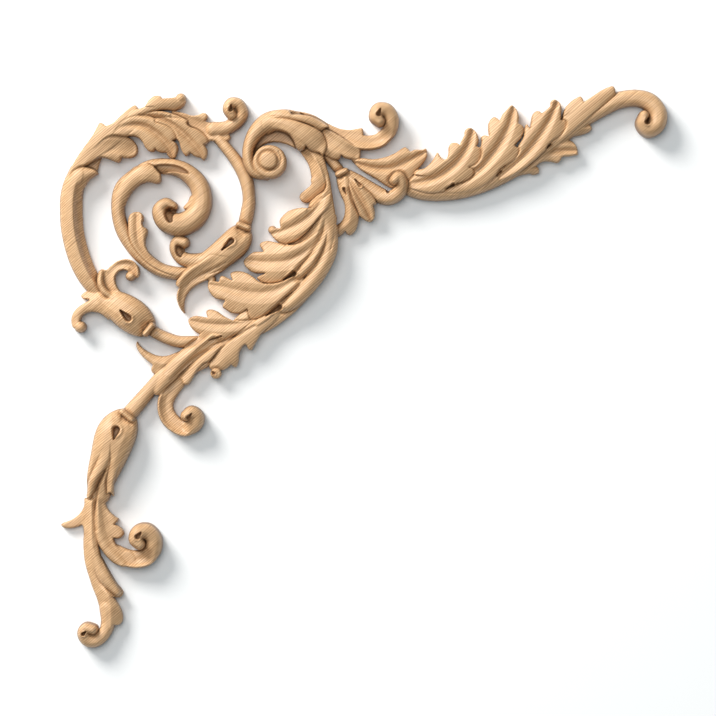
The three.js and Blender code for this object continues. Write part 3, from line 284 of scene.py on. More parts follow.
leafFoot = [
    {"edge": [(137, 341.2, 0), (141.5, 347), (148.5, 351.8), (157, 355.4), (166, 355.8), (175, 353),
              (184, 348.6, 0), (198, 346), (192, 362), (178, 374), (164.6, 373.6, 0), (162, 376, 0),
              (157, 374.6), (152.6, 372.8), (151.2, 369.4), (152.8, 365, 0), (147.6, 361),
              (141.8, 355.8), (137.4, 349.6), (136, 344.6)],
     "vein": [(194, 352, 9, 0.5), (177, 362, 8, 0.48), (160, 363.5, 8, 0.44), (147, 355.5, 5, 0.38),
              (139, 346, 2.5, 0.32)], "cut": "ridge"},
    {"edge": [(286, 306, 0), (274, 322), (262, 333), (256.4, 341.6), (251.6, 350.4, 0),
              (248.6, 349.4), (246.2, 344.4, 0), (243.4, 346), (240.2, 350.6), (239, 355.6),
              (238.8, 360.4), (236.6, 366.8), (233.8, 367), (231.2, 364.2, 0), (227.6, 368),
              (221, 370.6), (214, 371), (210, 368.6), (209.2, 364), (211.4, 359.6, 0), (222, 348),
              (240, 332), (258, 319)],
     "vein": [(290, 300, 7, 0.6), (266, 319, 9, 0.6), (248, 334, 11, 0.57), (231, 350, 10, 0.51),
              (218, 364, 8, 0.46)], "cut": "swell", "over": 0.6},
    {"edge": [(232, 334, 0), (220, 348), (210.8, 360.2), (203.6, 363.8), (198, 369.4),
              (193.8, 376.4), (190.2, 382.4), (187, 385), (183.4, 383.6), (182, 379.4, 0),
              (178.6, 378), (186, 363), (206, 344)],
     "vein": [(230, 338, 7, 0.58), (208, 357, 8, 0.52), (190, 377, 6, 0.45)], "cut": "swell",
     "over": 0.6},
    {"line": [(215, 343, 9, 0.54), (192, 363, 10, 0.5), (175, 383, 8.5, 0.48),
              (165.6, 402, 7.2, 0.46), (169, 418, 7.6, 0.48), (182, 428, 7.5, 0.54),
              (192, 426.4, 7, 0.6)], "cut": "lipRight"},
    {"line": [(182, 428, 6.6, 0.54), (193.6, 425.6, 6.8, 0.62), (197.4, 417.4, 6.6, 0.7),
              (191.8, 412.2, 6, 0.76), (186.4, 415.6, 5, 0.8)], "cut": "ball", "over": 0.35},
    {"line": [(222, 330, 6, 0.56), (203, 343, 7.5, 0.57), (183, 360, 7.5, 0.57),
              (167.4, 377, 6.4, 0.54), (157.4, 390, 4.6, 0.46)], "cut": "flute", "over": 0.9},
]

greatVolute = [
    {"edge": [(252, 161, 0), (252, 150), (257, 140), (265, 133), (276, 129), (290, 132), (300, 142),
              (302, 152, 0), (296, 148.8), (288, 144.6), (280, 142.4), (270, 142.2), (262, 145.6),
              (256.6, 152)],
     "vein": [(252, 156, 8, 0.26), (260, 140, 8, 0.28), (276, 137, 8, 0.34), (292, 141, 8, 0.4),
              (302, 149, 7, 0.42)], "cut": "bowl"},
    {"line": [(306, 127, 6, 0.62), (294, 121, 9, 0.7), (281, 119.8, 9.4, 0.76),
              (267, 122.8, 8.6, 0.8), (255, 134, 6.8, 0.82), (248.4, 149, 5, 0.84),
              (249.4, 162, 5.2, 0.84), (256, 172, 5.6, 0.84), (266, 174.6, 5, 0.84)],
     "cut": "ball"},
    {"edge": [(262, 119, 0), (276, 117), (292, 120.4), (306, 124.6), (316, 128.8), (321.2, 132),
              (324.8, 138), (326.8, 145), (325.6, 151), (322.8, 155.8), (319.6, 153.4), (313, 152),
              (308.6, 149.6), (306.2, 146, 0), (304.2, 149.6), (300.6, 151), (297.2, 149),
              (294, 141.6), (289.6, 135.6), (283, 132), (275, 131), (266, 134.4)],
     "vein": [(258, 128, 8, 0.82), (276, 123, 9, 0.88), (294, 129, 11, 0.92),
              (308, 138.5, 11, 0.88), (319, 148.5, 8, 0.74)], "cut": "swell", "over": 0.3},
    {"edge": [(270, 112, 0), (282, 110.2), (289.4, 111.4), (292, 115.2, 0), (300, 115.4),
              (310, 116.8), (318.6, 120.2), (324.6, 123.8), (328.2, 127.4), (324, 129.4),
              (321, 132.2, 0), (312, 126.8), (300, 122.4), (286, 119.6), (272, 118)],
     "vein": [(266, 116, 7, 0.82), (288, 117, 6, 0.86), (306, 120.6, 6, 0.85), (322, 127, 4, 0.74)],
     "cut": "swell", "over": 0.3},
]

upperBranch = [
    {"edge": [(286, 116, 0), (288, 110.8), (303, 112), (315, 115.8), (328, 123.6), (340, 128.8),
              (350, 129.8), (357, 128.8), (361.8, 127.8, 0), (363.6, 131), (363, 136, 0),
              (370, 138), (372, 148), (360, 148, 0), (350, 146), (338, 142), (324, 140)],
     "vein": [(290, 118, 7, 0.46), (318, 127, 8, 0.5), (342, 136.5, 8, 0.5), (368, 143, 7, 0.48)],
     "cut": "highRight"},
    {"edge": [(314, 126, 0), (330, 131), (340, 136.6), (350, 142.8), (357, 147.4), (360.2, 150),
              (360.6, 154), (359.8, 159.4, 0), (354, 159.8), (347, 158.8), (343, 156.8),
              (341.4, 154.8, 0), (339.6, 158.8), (335, 159.8), (329, 157.6), (323, 154, 0),
              (320, 142)],
     "vein": [(314, 128, 8, 0.54), (329, 140, 10, 0.62), (344, 149, 8, 0.6), (357, 154.6, 6, 0.5)],
     "cut": "bowl", "over": 0.3},
    {"line": [(345, 137.5, 6, 0.46), (358, 141.5, 7, 0.54), (369, 142.8, 6.6, 0.54),
              (380, 140, 6.6, 0.55), (389.5, 131, 6.4, 0.58)], "cut": "lipRight"},
    {"line": [(380, 140, 6.4, 0.52), (389.2, 131, 6.6, 0.6), (391.8, 120.4, 6.6, 0.68),
              (387, 111.4, 6.8, 0.74), (379, 110.4, 6.8, 0.8), (375.4, 116.8, 6, 0.84),
              (379.5, 121.6, 5, 0.86)], "cut": "ball", "over": 0.35},
]

bellFlower = [
    {"line": [(324, 148, 6, 0.42), (333, 162, 4.6, 0.44), (341, 172, 4.6, 0.44)]},
    {"line": [(348, 176, 6, 0.5), (361, 183.6, 6.8, 0.5), (375, 192.6, 7.4, 0.52),
              (388, 198, 6.6, 0.58), (398.4, 193, 6.4, 0.66), (402.2, 184, 5.4, 0.74),
              (398.6, 177.6, 5.4, 0.8), (394.4, 180.6, 4.6, 0.84)], "cut": "round", "over": 0.35},
    {"line": [(342.5, 174, 6, 0.44), (347, 184, 9, 0.56), (353, 197, 9.5, 0.58),
              (357, 206, 7, 0.5)]},
    {"edge": [(337.8, 179.6, 0), (344, 176), (350, 180), (352, 192), (355, 202), (359, 211),
              (359.2, 215.4, 0), (358.4, 222), (356, 229.8), (351.6, 234.6), (347.6, 234.6),
              (345.2, 230.8, 0), (341, 235.4), (335, 236.8), (328.8, 234.4), (325.6, 230.8, 0),
              (331, 228.6), (338, 224.4), (343.2, 218.6), (345, 210), (343.8, 202), (340.2, 193.6),
              (337.8, 187)],
     "vein": [(345, 179, 7, 0.56), (346.6, 192, 8, 0.6), (350.5, 208, 8, 0.58), (349, 222, 8, 0.52),
              (338, 231, 5, 0.42)], "cut": "ridge"},
    {"edge": [(349, 176, 0), (357, 181.6), (364, 188.2), (371.6, 194.8), (375.6, 200.6),
              (376.6, 203.4, 0), (373, 205.4, 0), (374.9, 211), (374.4, 217.6), (371, 221.8),
              (366, 220.8), (361, 217.2), (359, 214.6, 0), (356, 207), (352.6, 197), (349.6, 188)],
     "vein": [(347, 176, 7, 0.6), (356.4, 192, 9, 0.66), (364.6, 206, 9, 0.61),
              (370.4, 219, 6, 0.5)], "cut": "valley", "over": 0.3},
]

# the right arm: its pipe, then the leaves from the far end back to the root, each laid over the
# one beyond
rightArm = [
    {"line": [(398, 181, 8, 0.5), (420, 187.6, 11, 0.55), (445, 189, 11, 0.56),
              (472, 183, 12, 0.56), (500, 171.5, 12, 0.55), (528, 155, 12, 0.52),
              (555, 136, 11, 0.5), (580, 119, 9.6, 0.5), (602, 107, 8.8, 0.5),
              (620, 100, 7.8, 0.52), (637, 98.2, 7.8, 0.55), (650, 102.6, 8.4, 0.58),
              (657.8, 113, 8.4, 0.62), (656.5, 124, 8.4, 0.66), (648.5, 129.6, 7.5, 0.7),
              (641.8, 124, 6, 0.74), (643.5, 116, 4.6, 0.76)], "cut": "round"},
    {"edge": [(492, 186, 0), (506, 170), (528, 165), (536, 166.2), (538.8, 168.8),
              (539.2, 173.2, 0), (533.6, 174.8), (530, 173.4, 0), (520, 175.6), (510, 180)],
     "vein": [(496, 178, 7, 0.44), (518, 171, 6, 0.42), (535, 170, 4.5, 0.36)], "cut": "ridge"},
    {"edge": [(526, 170, 0), (538, 154), (552, 145), (562, 140), (569.8, 140.2), (574.6, 143.6),
              (577.6, 149), (577.9, 154.6, 0), (570.4, 156), (564.6, 156.2), (561.6, 157.4, 0),
              (560.6, 160.2), (557.4, 162.8), (550, 161.4), (542, 161.9), (534, 167.4)],
     "vein": [(530, 162, 6, 0.44), (546, 152.5, 8, 0.42), (560, 150.5, 9, 0.43),
              (573, 150, 7, 0.37)], "cut": "valley"},
    {"edge": [(552, 142, 0), (566, 129), (576, 123), (583, 118.4), (587.9, 120.8, 0),
              (586.2, 122.4), (589, 124), (591.8, 128.6), (589, 132.2), (582, 134.8), (574, 136.6),
              (569.2, 140, 0), (560, 148)],
     "vein": [(554, 141, 6, 0.42), (570, 131.5, 6, 0.43), (587, 128.4, 5, 0.38)], "cut": "ridge"},
    {"edge": [(540, 152, 0), (552, 134), (561, 119.4, 0), (562.8, 113), (566.6, 106), (572, 100.8),
              (577, 97.8), (579.8, 96.4), (582.4, 98.8), (583.2, 102.6, 0), (588, 99.4),
              (594, 95.4), (600, 91.4), (607, 87.8), (612.6, 86.6), (614.8, 90), (615, 95.2, 0),
              (609, 101), (600, 108.4), (588, 118.6), (577, 128), (564, 140), (550, 152)],
     "vein": [(530, 162, 6, 0.46), (552, 141, 9, 0.52), (572, 121.5, 12, 0.56),
              (590, 106.5, 10, 0.57), (608, 93.5, 7, 0.53)], "cut": "swell", "over": 0.7},
    {"edge": [(500, 174, 0), (514, 152), (523, 138), (524.4, 128.4), (526.4, 124.4),
              (530, 129.2, 0), (531, 121.6), (532.4, 115), (535.6, 111.6), (539.4, 111.6),
              (541.6, 113.8, 0), (546.2, 110), (550.4, 106), (550.6, 102), (553.4, 99.8),
              (557.8, 101), (560.6, 105.4), (561.2, 112), (560.4, 120.2, 0), (565.8, 121.4),
              (565.6, 127.6), (561, 134.8), (553.6, 140.2), (548, 144.8), (546.4, 149.4, 0),
              (534, 161), (518, 173), (500, 181)],
     "vein": [(462, 191, 6, 0.5), (492, 180, 8, 0.56), (516, 163, 11, 0.62), (534, 143, 13, 0.63),
              (547, 123, 11, 0.59), (555.6, 105, 7, 0.5)], "cut": "valley", "over": 0.6},
    {"edge": [(464, 176, 0), (475, 158), (480, 148), (481.4, 142), (481, 137.6), (484.4, 135.8),
              (489.4, 137.2, 0), (488.2, 130), (488.4, 123.6), (491.4, 118.6), (495.2, 117.4),
              (499.6, 121.2, 0), (502.2, 115), (506.4, 110.2), (511.6, 105.4), (515.8, 109),
              (518.4, 114.6), (518.6, 120), (518, 123.6, 0), (522.6, 126.4), (523.8, 131.6),
              (520.8, 138.6), (516.6, 143.2), (514.4, 146.2, 0), (519, 149.2), (517.2, 155.6),
              (511, 162.2), (503.6, 166.6), (498.4, 170.8), (495.8, 176.4, 0), (482, 187),
              (462, 193), (446, 192)],
     "vein": [(424, 192, 6, 0.52), (452, 186, 8, 0.6), (477, 171, 12, 0.66), (495, 150, 14, 0.68),
              (507, 129, 12, 0.62), (512.4, 111, 8, 0.52)], "cut": "valley", "over": 0.6},
    {"edge": [(416.6, 170.2, 0), (424, 168.9), (429.6, 164.3), (434, 158.3), (437.2, 152.8),
              (440, 157), (443.6, 160.5, 0), (446.8, 158.6), (448.4, 153), (448.6, 147.2),
              (451.4, 143.4), (456.6, 143.4), (459.4, 145.4, 0), (462, 139.6), (464.4, 135),
              (464.8, 131), (467.4, 128.5), (471.4, 128.4), (475.6, 132), (478, 137.4),
              (478.2, 142.4), (476.2, 146.8, 0), (480.2, 148.6), (481.4, 153.6), (479.6, 160),
              (474.4, 165.2), (467.4, 167.8, 0), (472.4, 169.4), (473.8, 173.4), (470, 178.8),
              (463, 182.2), (455, 184.6), (448.6, 187.8), (443.6, 192, 0), (430, 193.6), (414, 190),
              (400, 184), (408, 174)],
     "vein": [(386, 184, 6, 0.54), (410, 184, 9, 0.62), (434, 178, 12, 0.69),
              (453, 165.5, 13.5, 0.7), (465.6, 149, 12, 0.65), (471.6, 133, 8, 0.54)],
     "cut": "valley", "over": 0.5},
    {"edge": [(350, 158.4, 0), (362, 158.4), (374, 159.4), (386, 157.2), (395, 153.4), (401, 149.4),
              (404.6, 147.4), (408, 149.2), (410.2, 152.2, 0), (415, 149.8), (421, 150),
              (426.2, 148.6, 0), (427.2, 153), (425.8, 159), (421.8, 164.8), (418, 169.2),
              (415.8, 170.4, 0), (410, 180), (398, 188), (390, 187.6), (376, 179), (360, 169)],
     "vein": [(352, 162, 6, 0.5), (372, 167.5, 9, 0.56), (391, 168, 12, 0.6), (407, 161, 12, 0.56),
              (422, 153.6, 8, 0.46)], "cut": "valley", "over": 0.2},
]

lowerArm = [
    {"line": [(168, 367, 4.8, 0.42), (152, 387, 6, 0.46), (139, 402.5, 6.8, 0.48),
              (127.5, 416, 7.4, 0.48)]},
    {"line": [(109, 608, 9, 0.48), (108, 624, 6.2, 0.46), (103.6, 634, 5.8, 0.48),
              (96, 640.5, 5.8, 0.52), (88, 640, 6, 0.56), (83.6, 633.6, 5.6, 0.62),
              (86.5, 628, 5.2, 0.66), (93, 629, 4.8, 0.68)]},
    {"edge": [(84, 498, 0), (98, 500), (98, 520), (97.6, 538, 0), (99, 548), (102, 560), (107, 571),
              (114, 581), (121.2, 588.6), (123.2, 593), (121, 596.8), (117, 597.6),
              (112.4, 596.4, 0), (117, 602), (121.2, 610), (122.8, 618), (121, 623.6), (117, 625.2),
              (112.8, 624.2, 0), (111, 629), (101, 628), (101, 617), (99.4, 608), (96.6, 598),
              (92.6, 588), (88.6, 576), (85.6, 566), (83.8, 556), (83.2, 545), (83.4, 534),
              (83, 527), (81, 524.8, 0), (79, 526.4), (71, 528.4), (64, 528), (60.6, 525, 0),
              (63, 523), (70, 520.4), (76, 516.8), (81, 511.6), (84, 505)],
     "vein": [(92, 494, 7, 0.5), (92, 520, 7, 0.48), (93, 545, 8, 0.5), (99, 565, 11, 0.53),
              (106, 585, 13, 0.51), (110.6, 604, 11, 0.5), (111, 622, 8, 0.46)], "cut": "crease"},
    {"line": [(98, 560, 4, 0.54), (105, 577, 6, 0.56), (117, 592, 3.6, 0.5)], "over": 0.6,
     "cut": "ball"},
    {"line": [(124, 420, 9, 0.52), (121.4, 425, 15.4, 0.66), (115.6, 436, 19.3, 0.78),
              (108.5, 457, 17, 0.74), (101.4, 478, 13.6, 0.62), (99, 494, 10.6, 0.5)],
     "cut": "ball"},
    {"edge": [(102, 486, 0), (104.6, 498), (106.2, 506), (110, 512), (115.4, 516.9),
              (118.8, 518.8, 0), (117, 521.8), (113.6, 524.6, 0), (118, 525.8), (122.6, 529.5),
              (123.8, 534), (121, 537.3), (116.6, 538.6), (113, 537.4, 0), (116, 544.6), (122, 550),
              (132, 551.6), (136, 560), (126, 566.6), (114, 563), (105, 554.2), (98.8, 543.8),
              (96, 532), (95, 516), (97, 500)],
     "vein": [(104, 476, 7, 0.6), (102, 500, 7, 0.54), (105, 522, 9, 0.52), (111, 541, 10, 0.5),
              (124, 557, 8, 0.5)], "cut": "highRight"},
    {"line": [(112, 551, 7, 0.44), (130, 558.8, 8, 0.48), (145, 557.8, 8, 0.55),
              (153, 550, 7.5, 0.6)], "cut": "lipRight"},
    {"line": [(143, 558, 7.4, 0.52), (152.4, 550, 7.8, 0.62), (154, 539, 7.4, 0.7),
              (147.6, 531.4, 7.6, 0.78), (139.6, 532, 7.4, 0.84), (136, 538.6, 6.4, 0.88),
              (140, 543.6, 5.2, 0.88)], "cut": "ball", "over": 0.3},
    {"edge": [(112, 432, 0), (133, 436), (132.6, 444), (129, 452), (126.5, 456.6), (122.6, 462),
              (118.2, 469), (115, 479), (113.6, 488), (113.8, 496.6, 0), (110.4, 492.6),
              (107, 494.8, 0), (106.4, 480), (110, 465)],
     "vein": [(122, 438, 9, 0.76), (114.6, 468, 8, 0.67), (111, 493, 5, 0.52)], "cut": "swell",
     "over": 0.8},
    {"line": [(110, 448, 5, 0.78), (101.6, 466, 5.4, 0.76), (94.4, 481, 4.6, 0.68),
              (89.6, 496, 2.2, 0.54)], "cut": "ball", "over": 0.7},
]

# collars across a stalk: centre, direction along the stalk, half length, half width, crown
collars = [
    {"at": (149, 329.6), "toward": (-0.78, -0.62), "long": 8, "short": 2.9, "crown": 0.68},
    {"at": (243.8, 226.6), "toward": (-0.36, 0.93), "long": 7.8, "short": 2.8, "crown": 0.68},
    {"at": (342, 172.8), "toward": (0.42, 0.91), "long": 7, "short": 2.9, "crown": 0.6},
    {"at": (127.4, 415.8), "toward": (-0.64, 0.77), "long": 8.6, "short": 2.7, "crown": 0.68},
]

# round bosses and the balls at curled tips
bosses = [
    {"at": (270, 162.4), "radius": 16.2, "crown": 0.86, "cut": "disc"},
    {"at": (268.6, 161), "radius": 8.6, "crown": 0.95, "cut": "disc"},
    {"at": (181, 98.4), "radius": 4.6, "crown": 0.56, "cut": "ball"},
    {"at": (272.4, 230), "radius": 3.8, "crown": 0.44, "cut": "ball"},
    {"at": (211.6, 279), "radius": 3.6, "crown": 0.42, "cut": "ball"},
    {"at": (216, 373.6), "radius": 4.8, "crown": 0.46, "cut": "disc"},
    {"at": (131, 276.2), "radius": 4.6, "crown": 0.64, "cut": "ball"},
    {"at": (80.6, 327), "radius": 5.4, "crown": 0.56, "cut": "ball"},
]

# low floors that close the middle of each coil
hearts = [(235.5, 110.5, 4.5), (383, 117.5, 6.2), (648.5, 119.5, 7), (143.5, 540, 7.5),
          (191.5, 420, 5), (90.5, 634, 5), (169, 212, 7), (180.5, 249, 4)]

# the hearts, bosses and collars
roundForms = {
    "span": 0.3,  # squares, half the length of the short line that a round form has
    "heartCrown": 0.4,
    "bossGain": 0.3,  # squares added to the half width
    "collarGain": 0.4,
    "atOnce": 0.01,  # share of its length in which a disc or collar has risen in full
}

# drilled eyes: from the point to the round end, half width and depth in mm
eyes = [
    {"from": (121, 310.6), "to": (129, 318.4), "half": 3.8, "depth": 7},
    {"from": (222.4, 250.4), "to": (231.6, 241.4), "half": 3.4, "depth": 7},
    {"from": (114.6, 439), "to": (117, 429.6), "half": 4.2, "depth": 7},
    {"from": (346.4, 195), "to": (344, 189.4), "half": 1.9, "depth": 3.5},
    {"from": (283.5, 280), "to": (294, 273.6), "half": 2.8, "depth": 5.5},
    {"from": (266, 316), "to": (279.6, 307), "half": 3, "depth": 5.5},
    {"from": (208.5, 340.4), "to": (221, 336.6), "half": 1.3, "depth": 2.5},
    {"from": (231.6, 105.4), "to": (231, 110.4), "half": 2.4, "depth": 5},
    {"from": (380.4, 109.6), "to": (378.6, 115), "half": 2.6, "depth": 4.5},
    {"from": (648, 117.6), "to": (646.4, 122.6), "half": 2.8, "depth": 5},
    {"from": (142, 531.6), "to": (138.4, 536), "half": 2.8, "depth": 4.5},
    {"from": (192, 413.6), "to": (188.6, 417.4), "half": 2.2, "depth": 4},
    {"from": (86.4, 631), "to": (83.8, 633.4), "half": 2, "depth": 5},
    {"from": (445, 189.6), "to": (453, 185), "half": 1.9, "depth": 4},
    {"from": (496.4, 176.4), "to": (500.5, 172), "half": 1.6, "depth": 3},
    {"from": (545.6, 149.4), "to": (550, 145), "half": 1.4, "depth": 3},
    {"from": (386.4, 190.6), "to": (388, 191.8), "half": 1.8, "depth": 6},
    {"from": (355, 180), "to": (360, 186), "half": 2, "depth": 3.5},
    {"from": (212, 371.6), "to": (214.2, 373.4), "half": 1.7, "depth": 3},
]

# hollows cut to a drawn outline, with their depth in mm
hollows = [
    {"edge": [(165, 214), (166.6, 209.6), (170.6, 207.4), (176, 209.4), (178.4, 212.4, 0),
              (175, 214, 0), (173.2, 217), (173.4, 222, 0), (170, 223.2), (166.6, 219.4)],
     "depth": 8},
    {"edge": [(176.4, 245, 0), (180.6, 246.2), (185, 249.2, 0), (183.6, 253), (181, 258, 0),
              (177.2, 255), (175.8, 250)], "depth": 6},
    {"edge": [(154, 166.6, 0), (160, 165.2), (170, 165), (178, 166.4), (186, 170.2),
              (190, 174.6, 0), (182, 173.4), (174, 172), (160, 174, 0)], "depth": 4.5},
    {"edge": [(292, 116, 0), (290, 112.4), (297, 112.4), (305, 114.6), (298, 115.6)], "depth": 2.5},
    {"edge": [(560.6, 119.6, 0), (561.6, 110), (566.4, 104.6, 0), (563.6, 112), (562.6, 119.6)],
     "depth": 5},
]

# gouge strokes: a line of (x, y, half width, depth in mm), raised where the depth is negative
gouges = [
    [(279, 152, 1.2, 0.8), (281.6, 160, 1.5, 1.2), (277, 168.4, 1.5, 1.2),
     (266, 171.8, 1.2, 0.8)],
    [(140, 115.5, 1.2, 0.8), (152, 118, 1.6, 1.2), (166, 117.5, 1.6, 1.2),
     (182, 119.5, 1.2, 0.8)],
    [(226, 263, 1.6, 0.8), (210, 271, 2, 1.2), (194, 279, 1.8, 1), (186, 287, 1.4, 0.6)],
    [(106, 470, 1.6, 1), (98, 484, 2.4, 1.8), (96, 505, 2.4, 2), (96.6, 530, 1.6, 1.4)],
    [(255, 326, 2, 1), (232, 338, 2.6, 2), (210, 349, 3, 2.4), (190, 362, 3, 2.4),
     (172, 380, 2.4, 1.6)],
    [(349, 188, 1.2, 1.2), (352, 200, 1.8, 1.8), (356, 208, 1.6, 1.6),
     (359, 214, 1.2, 1)],
    [(300, 145, 1.4, -0.4), (311, 154, 1.8, -0.9), (320, 168, 1.8, -0.9),
     (325, 184, 1.6, -0.6)],
]

carving = [ringScroll, topLeaf, innerScroll, lowerBud, upperBud, greatLeaf, leafFoot, rightArm,
           bellFlower, upperBranch, greatVolute, lowerArm]


fine = drawing["fine"]
gridWide = (drawing["right"] - drawing["left"]) * fine + 1
gridHigh = (drawing["bottom"] - drawing["top"]) * fine + 1
height = np.zeros((gridHigh, gridWide))  # mm above the back
wood = np.zeros((gridHigh, gridWide), bool)


# a smooth run of places through the points
def smoothRun(points):
    p = np.array(points, float)
    if len(p) == 2:
        p = np.vstack([p[0], p.mean(axis=0), p[1]])
    p = np.vstack([2 * p[0] - p[1], p, 2 * p[-1] - p[-2]])
    runs = []
    for a, b, c, d in zip(p, p[1:], p[2:], p[3:]):
        count = max(relief["fewestStations"], int(np.hypot(*(c - b)[:2]) * relief["stations"]))
        t = np.linspace(0, 1, count, endpoint=False)[:, None]
        runs.append(b + 0.5 * ((c - a) * t + (2 * a - 5 * b + 4 * c - d) * t ** 2
                               + (3 * b - a - 3 * c + d) * t ** 3))
    return np.vstack([*runs, p[-2:-1]])


def smoothLine(points):
    line = smoothRun(points)
    along = np.gradient(line[:, :2], axis=0)
    along /= np.maximum(np.hypot(along[:, 0], along[:, 1]), 1e-9)[:, None]
    return line, along


def windowOf(x0, y0, x1, y1):
    c0 = max(0, int((x0 - drawing["left"]) * fine))
    r0 = max(0, int((y0 - drawing["top"]) * fine))
    c1 = min(gridWide, int((x1 - drawing["left"]) * fine) + 2)
    r1 = min(gridHigh, int((y1 - drawing["top"]) * fine) + 2)
    xs = drawing["left"] + np.arange(c0, c1) / fine
    ys = (drawing["top"] + np.arange(r0, r1) / fine)[:, None]
    return (slice(r0, r1), slice(c0, c1)), xs, ys


# for each cell, the station of the line that it is nearest to for its half width, and how far
# across the line it lies
def acrossLine(line, along, reach):
    half = line[:, 2]
    spread = half + reach
    window, xs, ys = windowOf(np.min(line[:, 0] - spread), np.min(line[:, 1] - spread),
                              np.max(line[:, 0] + spread), np.max(line[:, 1] + spread))
    best = np.full((len(ys), len(xs)), np.inf)
    station = np.zeros(best.shape, int)
    side = np.ones(best.shape)
    for i, (x, y) in enumerate(line[:, :2]):
        a = max(0, int((x - spread[i] - xs[0]) * fine))
        b = int((x + spread[i] - xs[0]) * fine) + 2
        c = max(0, int((y - spread[i] - ys[0, 0]) * fine))
        d = int((y + spread[i] - ys[0, 0]) * fine) + 2
        patch = (slice(c, d), slice(a, b))
        dx = xs[a:b] - x
        dy = ys[c:d] - y
        far = np.sqrt(dx * dx + dy * dy) / half[i]
        nearer = far < best[patch]
        best[patch][nearer] = far[nearer]
        station[patch][nearer] = i
        side[patch][nearer] = np.where(dy * along[i, 0] - dx * along[i, 1] < 0, -1, 1)[nearer]
    return window, best * side, station


def ease(t):
    t = np.clip(t, 0, 1)
    return t * t * (3 - 2 * t)


def softMax(a, b, k):
    return np.maximum(a, b) + np.maximum(k - np.abs(a - b), 0) ** 2 / (4 * k)


def blurred(field, sigma):
    reach = int(math.ceil(sigma * 3))
    weights = np.exp(-0.5 * (np.arange(-reach, reach + 1) / sigma) ** 2)
    weights /= weights.sum()
    for axis in (0, 1):
        ends = [(reach, reach) if a == axis else (0, 0) for a in (0, 1)]
        padded = np.pad(field, ends, mode="edge")
        size = field.shape[axis]
        field = sum(w * padded.take(range(k, k + size), axis) for k, w in enumerate(weights))
    return field


# how far down an edge has rolled, from how much wood there is around each cell
def rolledOff(cover):
    return np.clip(2 - 2 * cover, 0, relief["rollReach"]) ** relief["rollPower"]


def heightAcross(cut, u):
    columns, shares = zip(*sections[cut])
    return np.interp(u, columns, shares)


# join a form to the ground, or lay it over the ground where over is given
def put(window, inside, form, station, count, over, beside):
    ground, held = height[window], wood[window]
    if over is None:
        laid = np.where(held, softMax(ground, form, relief["blend"]), form)
    else:
        fade = ease((station + 1) / (count * over))
        cutBack = np.maximum(ground - relief["under"] * beside * fade, relief["floor"])
        ground[:] = np.where(held & ~inside, cutBack, ground)
        laid = np.where(held, ground + fade * (form - ground), form)
    ground[:] = np.where(inside, laid, ground)
    held |= inside


def layLine(points, cut="round", over=None, gain=relief["stemGain"]):
    line, along = smoothLine(points)
    line[:, 2] = np.maximum(line[:, 2], relief["slimmest"]) + gain
    window, u, station = acrossLine(line, along, relief["underReach"])
    crown = np.maximum(line[station, 3] * relief["depth"], relief["leastCrown"])
    form = np.maximum(crown * heightAcross(cut, u), relief["edge"])
    beside = np.exp(-((np.abs(u) - 1) * line[station, 2] / relief["underWidth"]) ** 2)
    put(window, np.abs(u) <= 1, form, station, len(line), over, beside)


def layRound(x, y, radius, crown, cut, over, gain):
    span = roundForms["span"]
    layLine([(x - span, y, radius, crown), (x + span, y, radius, crown)], cut, over, gain)


# closed outline: runs between its corners are smooth curves
def outlineOf(points):
    corners = [i for i, p in enumerate(points) if len(p) == 3]
    first = corners[0] if corners else 0
    ring = [*points[first:], *points[:first], points[first]]
    stops = [i for i, p in enumerate(ring) if len(p) == 3] or [0, len(ring) - 1]
    return np.vstack([smoothRun([p[:2] for p in ring[a:b + 1]])[:-1]
                      for a, b in zip(stops, stops[1:])])


# the cells inside a drawn outline, and a window with room to spare round it
def insideOf(points):
    outline = outlineOf(points)
    window, xs, ys = windowOf(*(outline.min(axis=0) - relief["margin"]),
                              *(outline.max(axis=0) + relief["margin"]))
    inside = np.zeros((len(ys), len(xs)), bool)
    for (x0, y0), (x1, y1) in zip(outline, np.roll(outline, -1, axis=0)):
        hit = np.nonzero((ys[:, 0] > min(y0, y1)) & (ys[:, 0] <= max(y0, y1)))[0]
        if len(hit):
            rows = slice(hit[0], hit[-1] + 1)
            inside[rows] ^= xs < x0 + (ys[rows] - y0) * (x1 - x0) / (y1 - y0)
    return inside, window, xs, ys


# a blade follows its vein for height and its outline for shape, and its edge rolls off
def layBlade(edge, vein, cut, over=None):
    inside, window, xs, ys = insideOf(edge)
    line, along = smoothLine(vein)
    best = np.full(inside.shape, np.inf)
    station = np.zeros(inside.shape, int)
    for i, (x, y) in enumerate(line[:, :2]):
        far = (xs - x) ** 2 + (ys - y) ** 2
        nearer = far < best
        best[nearer] = far[nearer]
        station[nearer] = i
    dx, dy = xs - line[station, 0], ys - line[station, 1]
    u = (dy * along[station, 0] - dx * along[station, 1]) / line[station, 2]
    cover = blurred(inside.astype(float), fine * relief["rollWidth"])
    form = line[station, 3] * relief["depth"] * heightAcross(cut, u)
    form -= relief["roll"] * rolledOff(cover)
    form = np.maximum(form, relief["edge"])
    put(window, inside, form, station, len(line), over, np.clip(2 * cover, 0, 1))


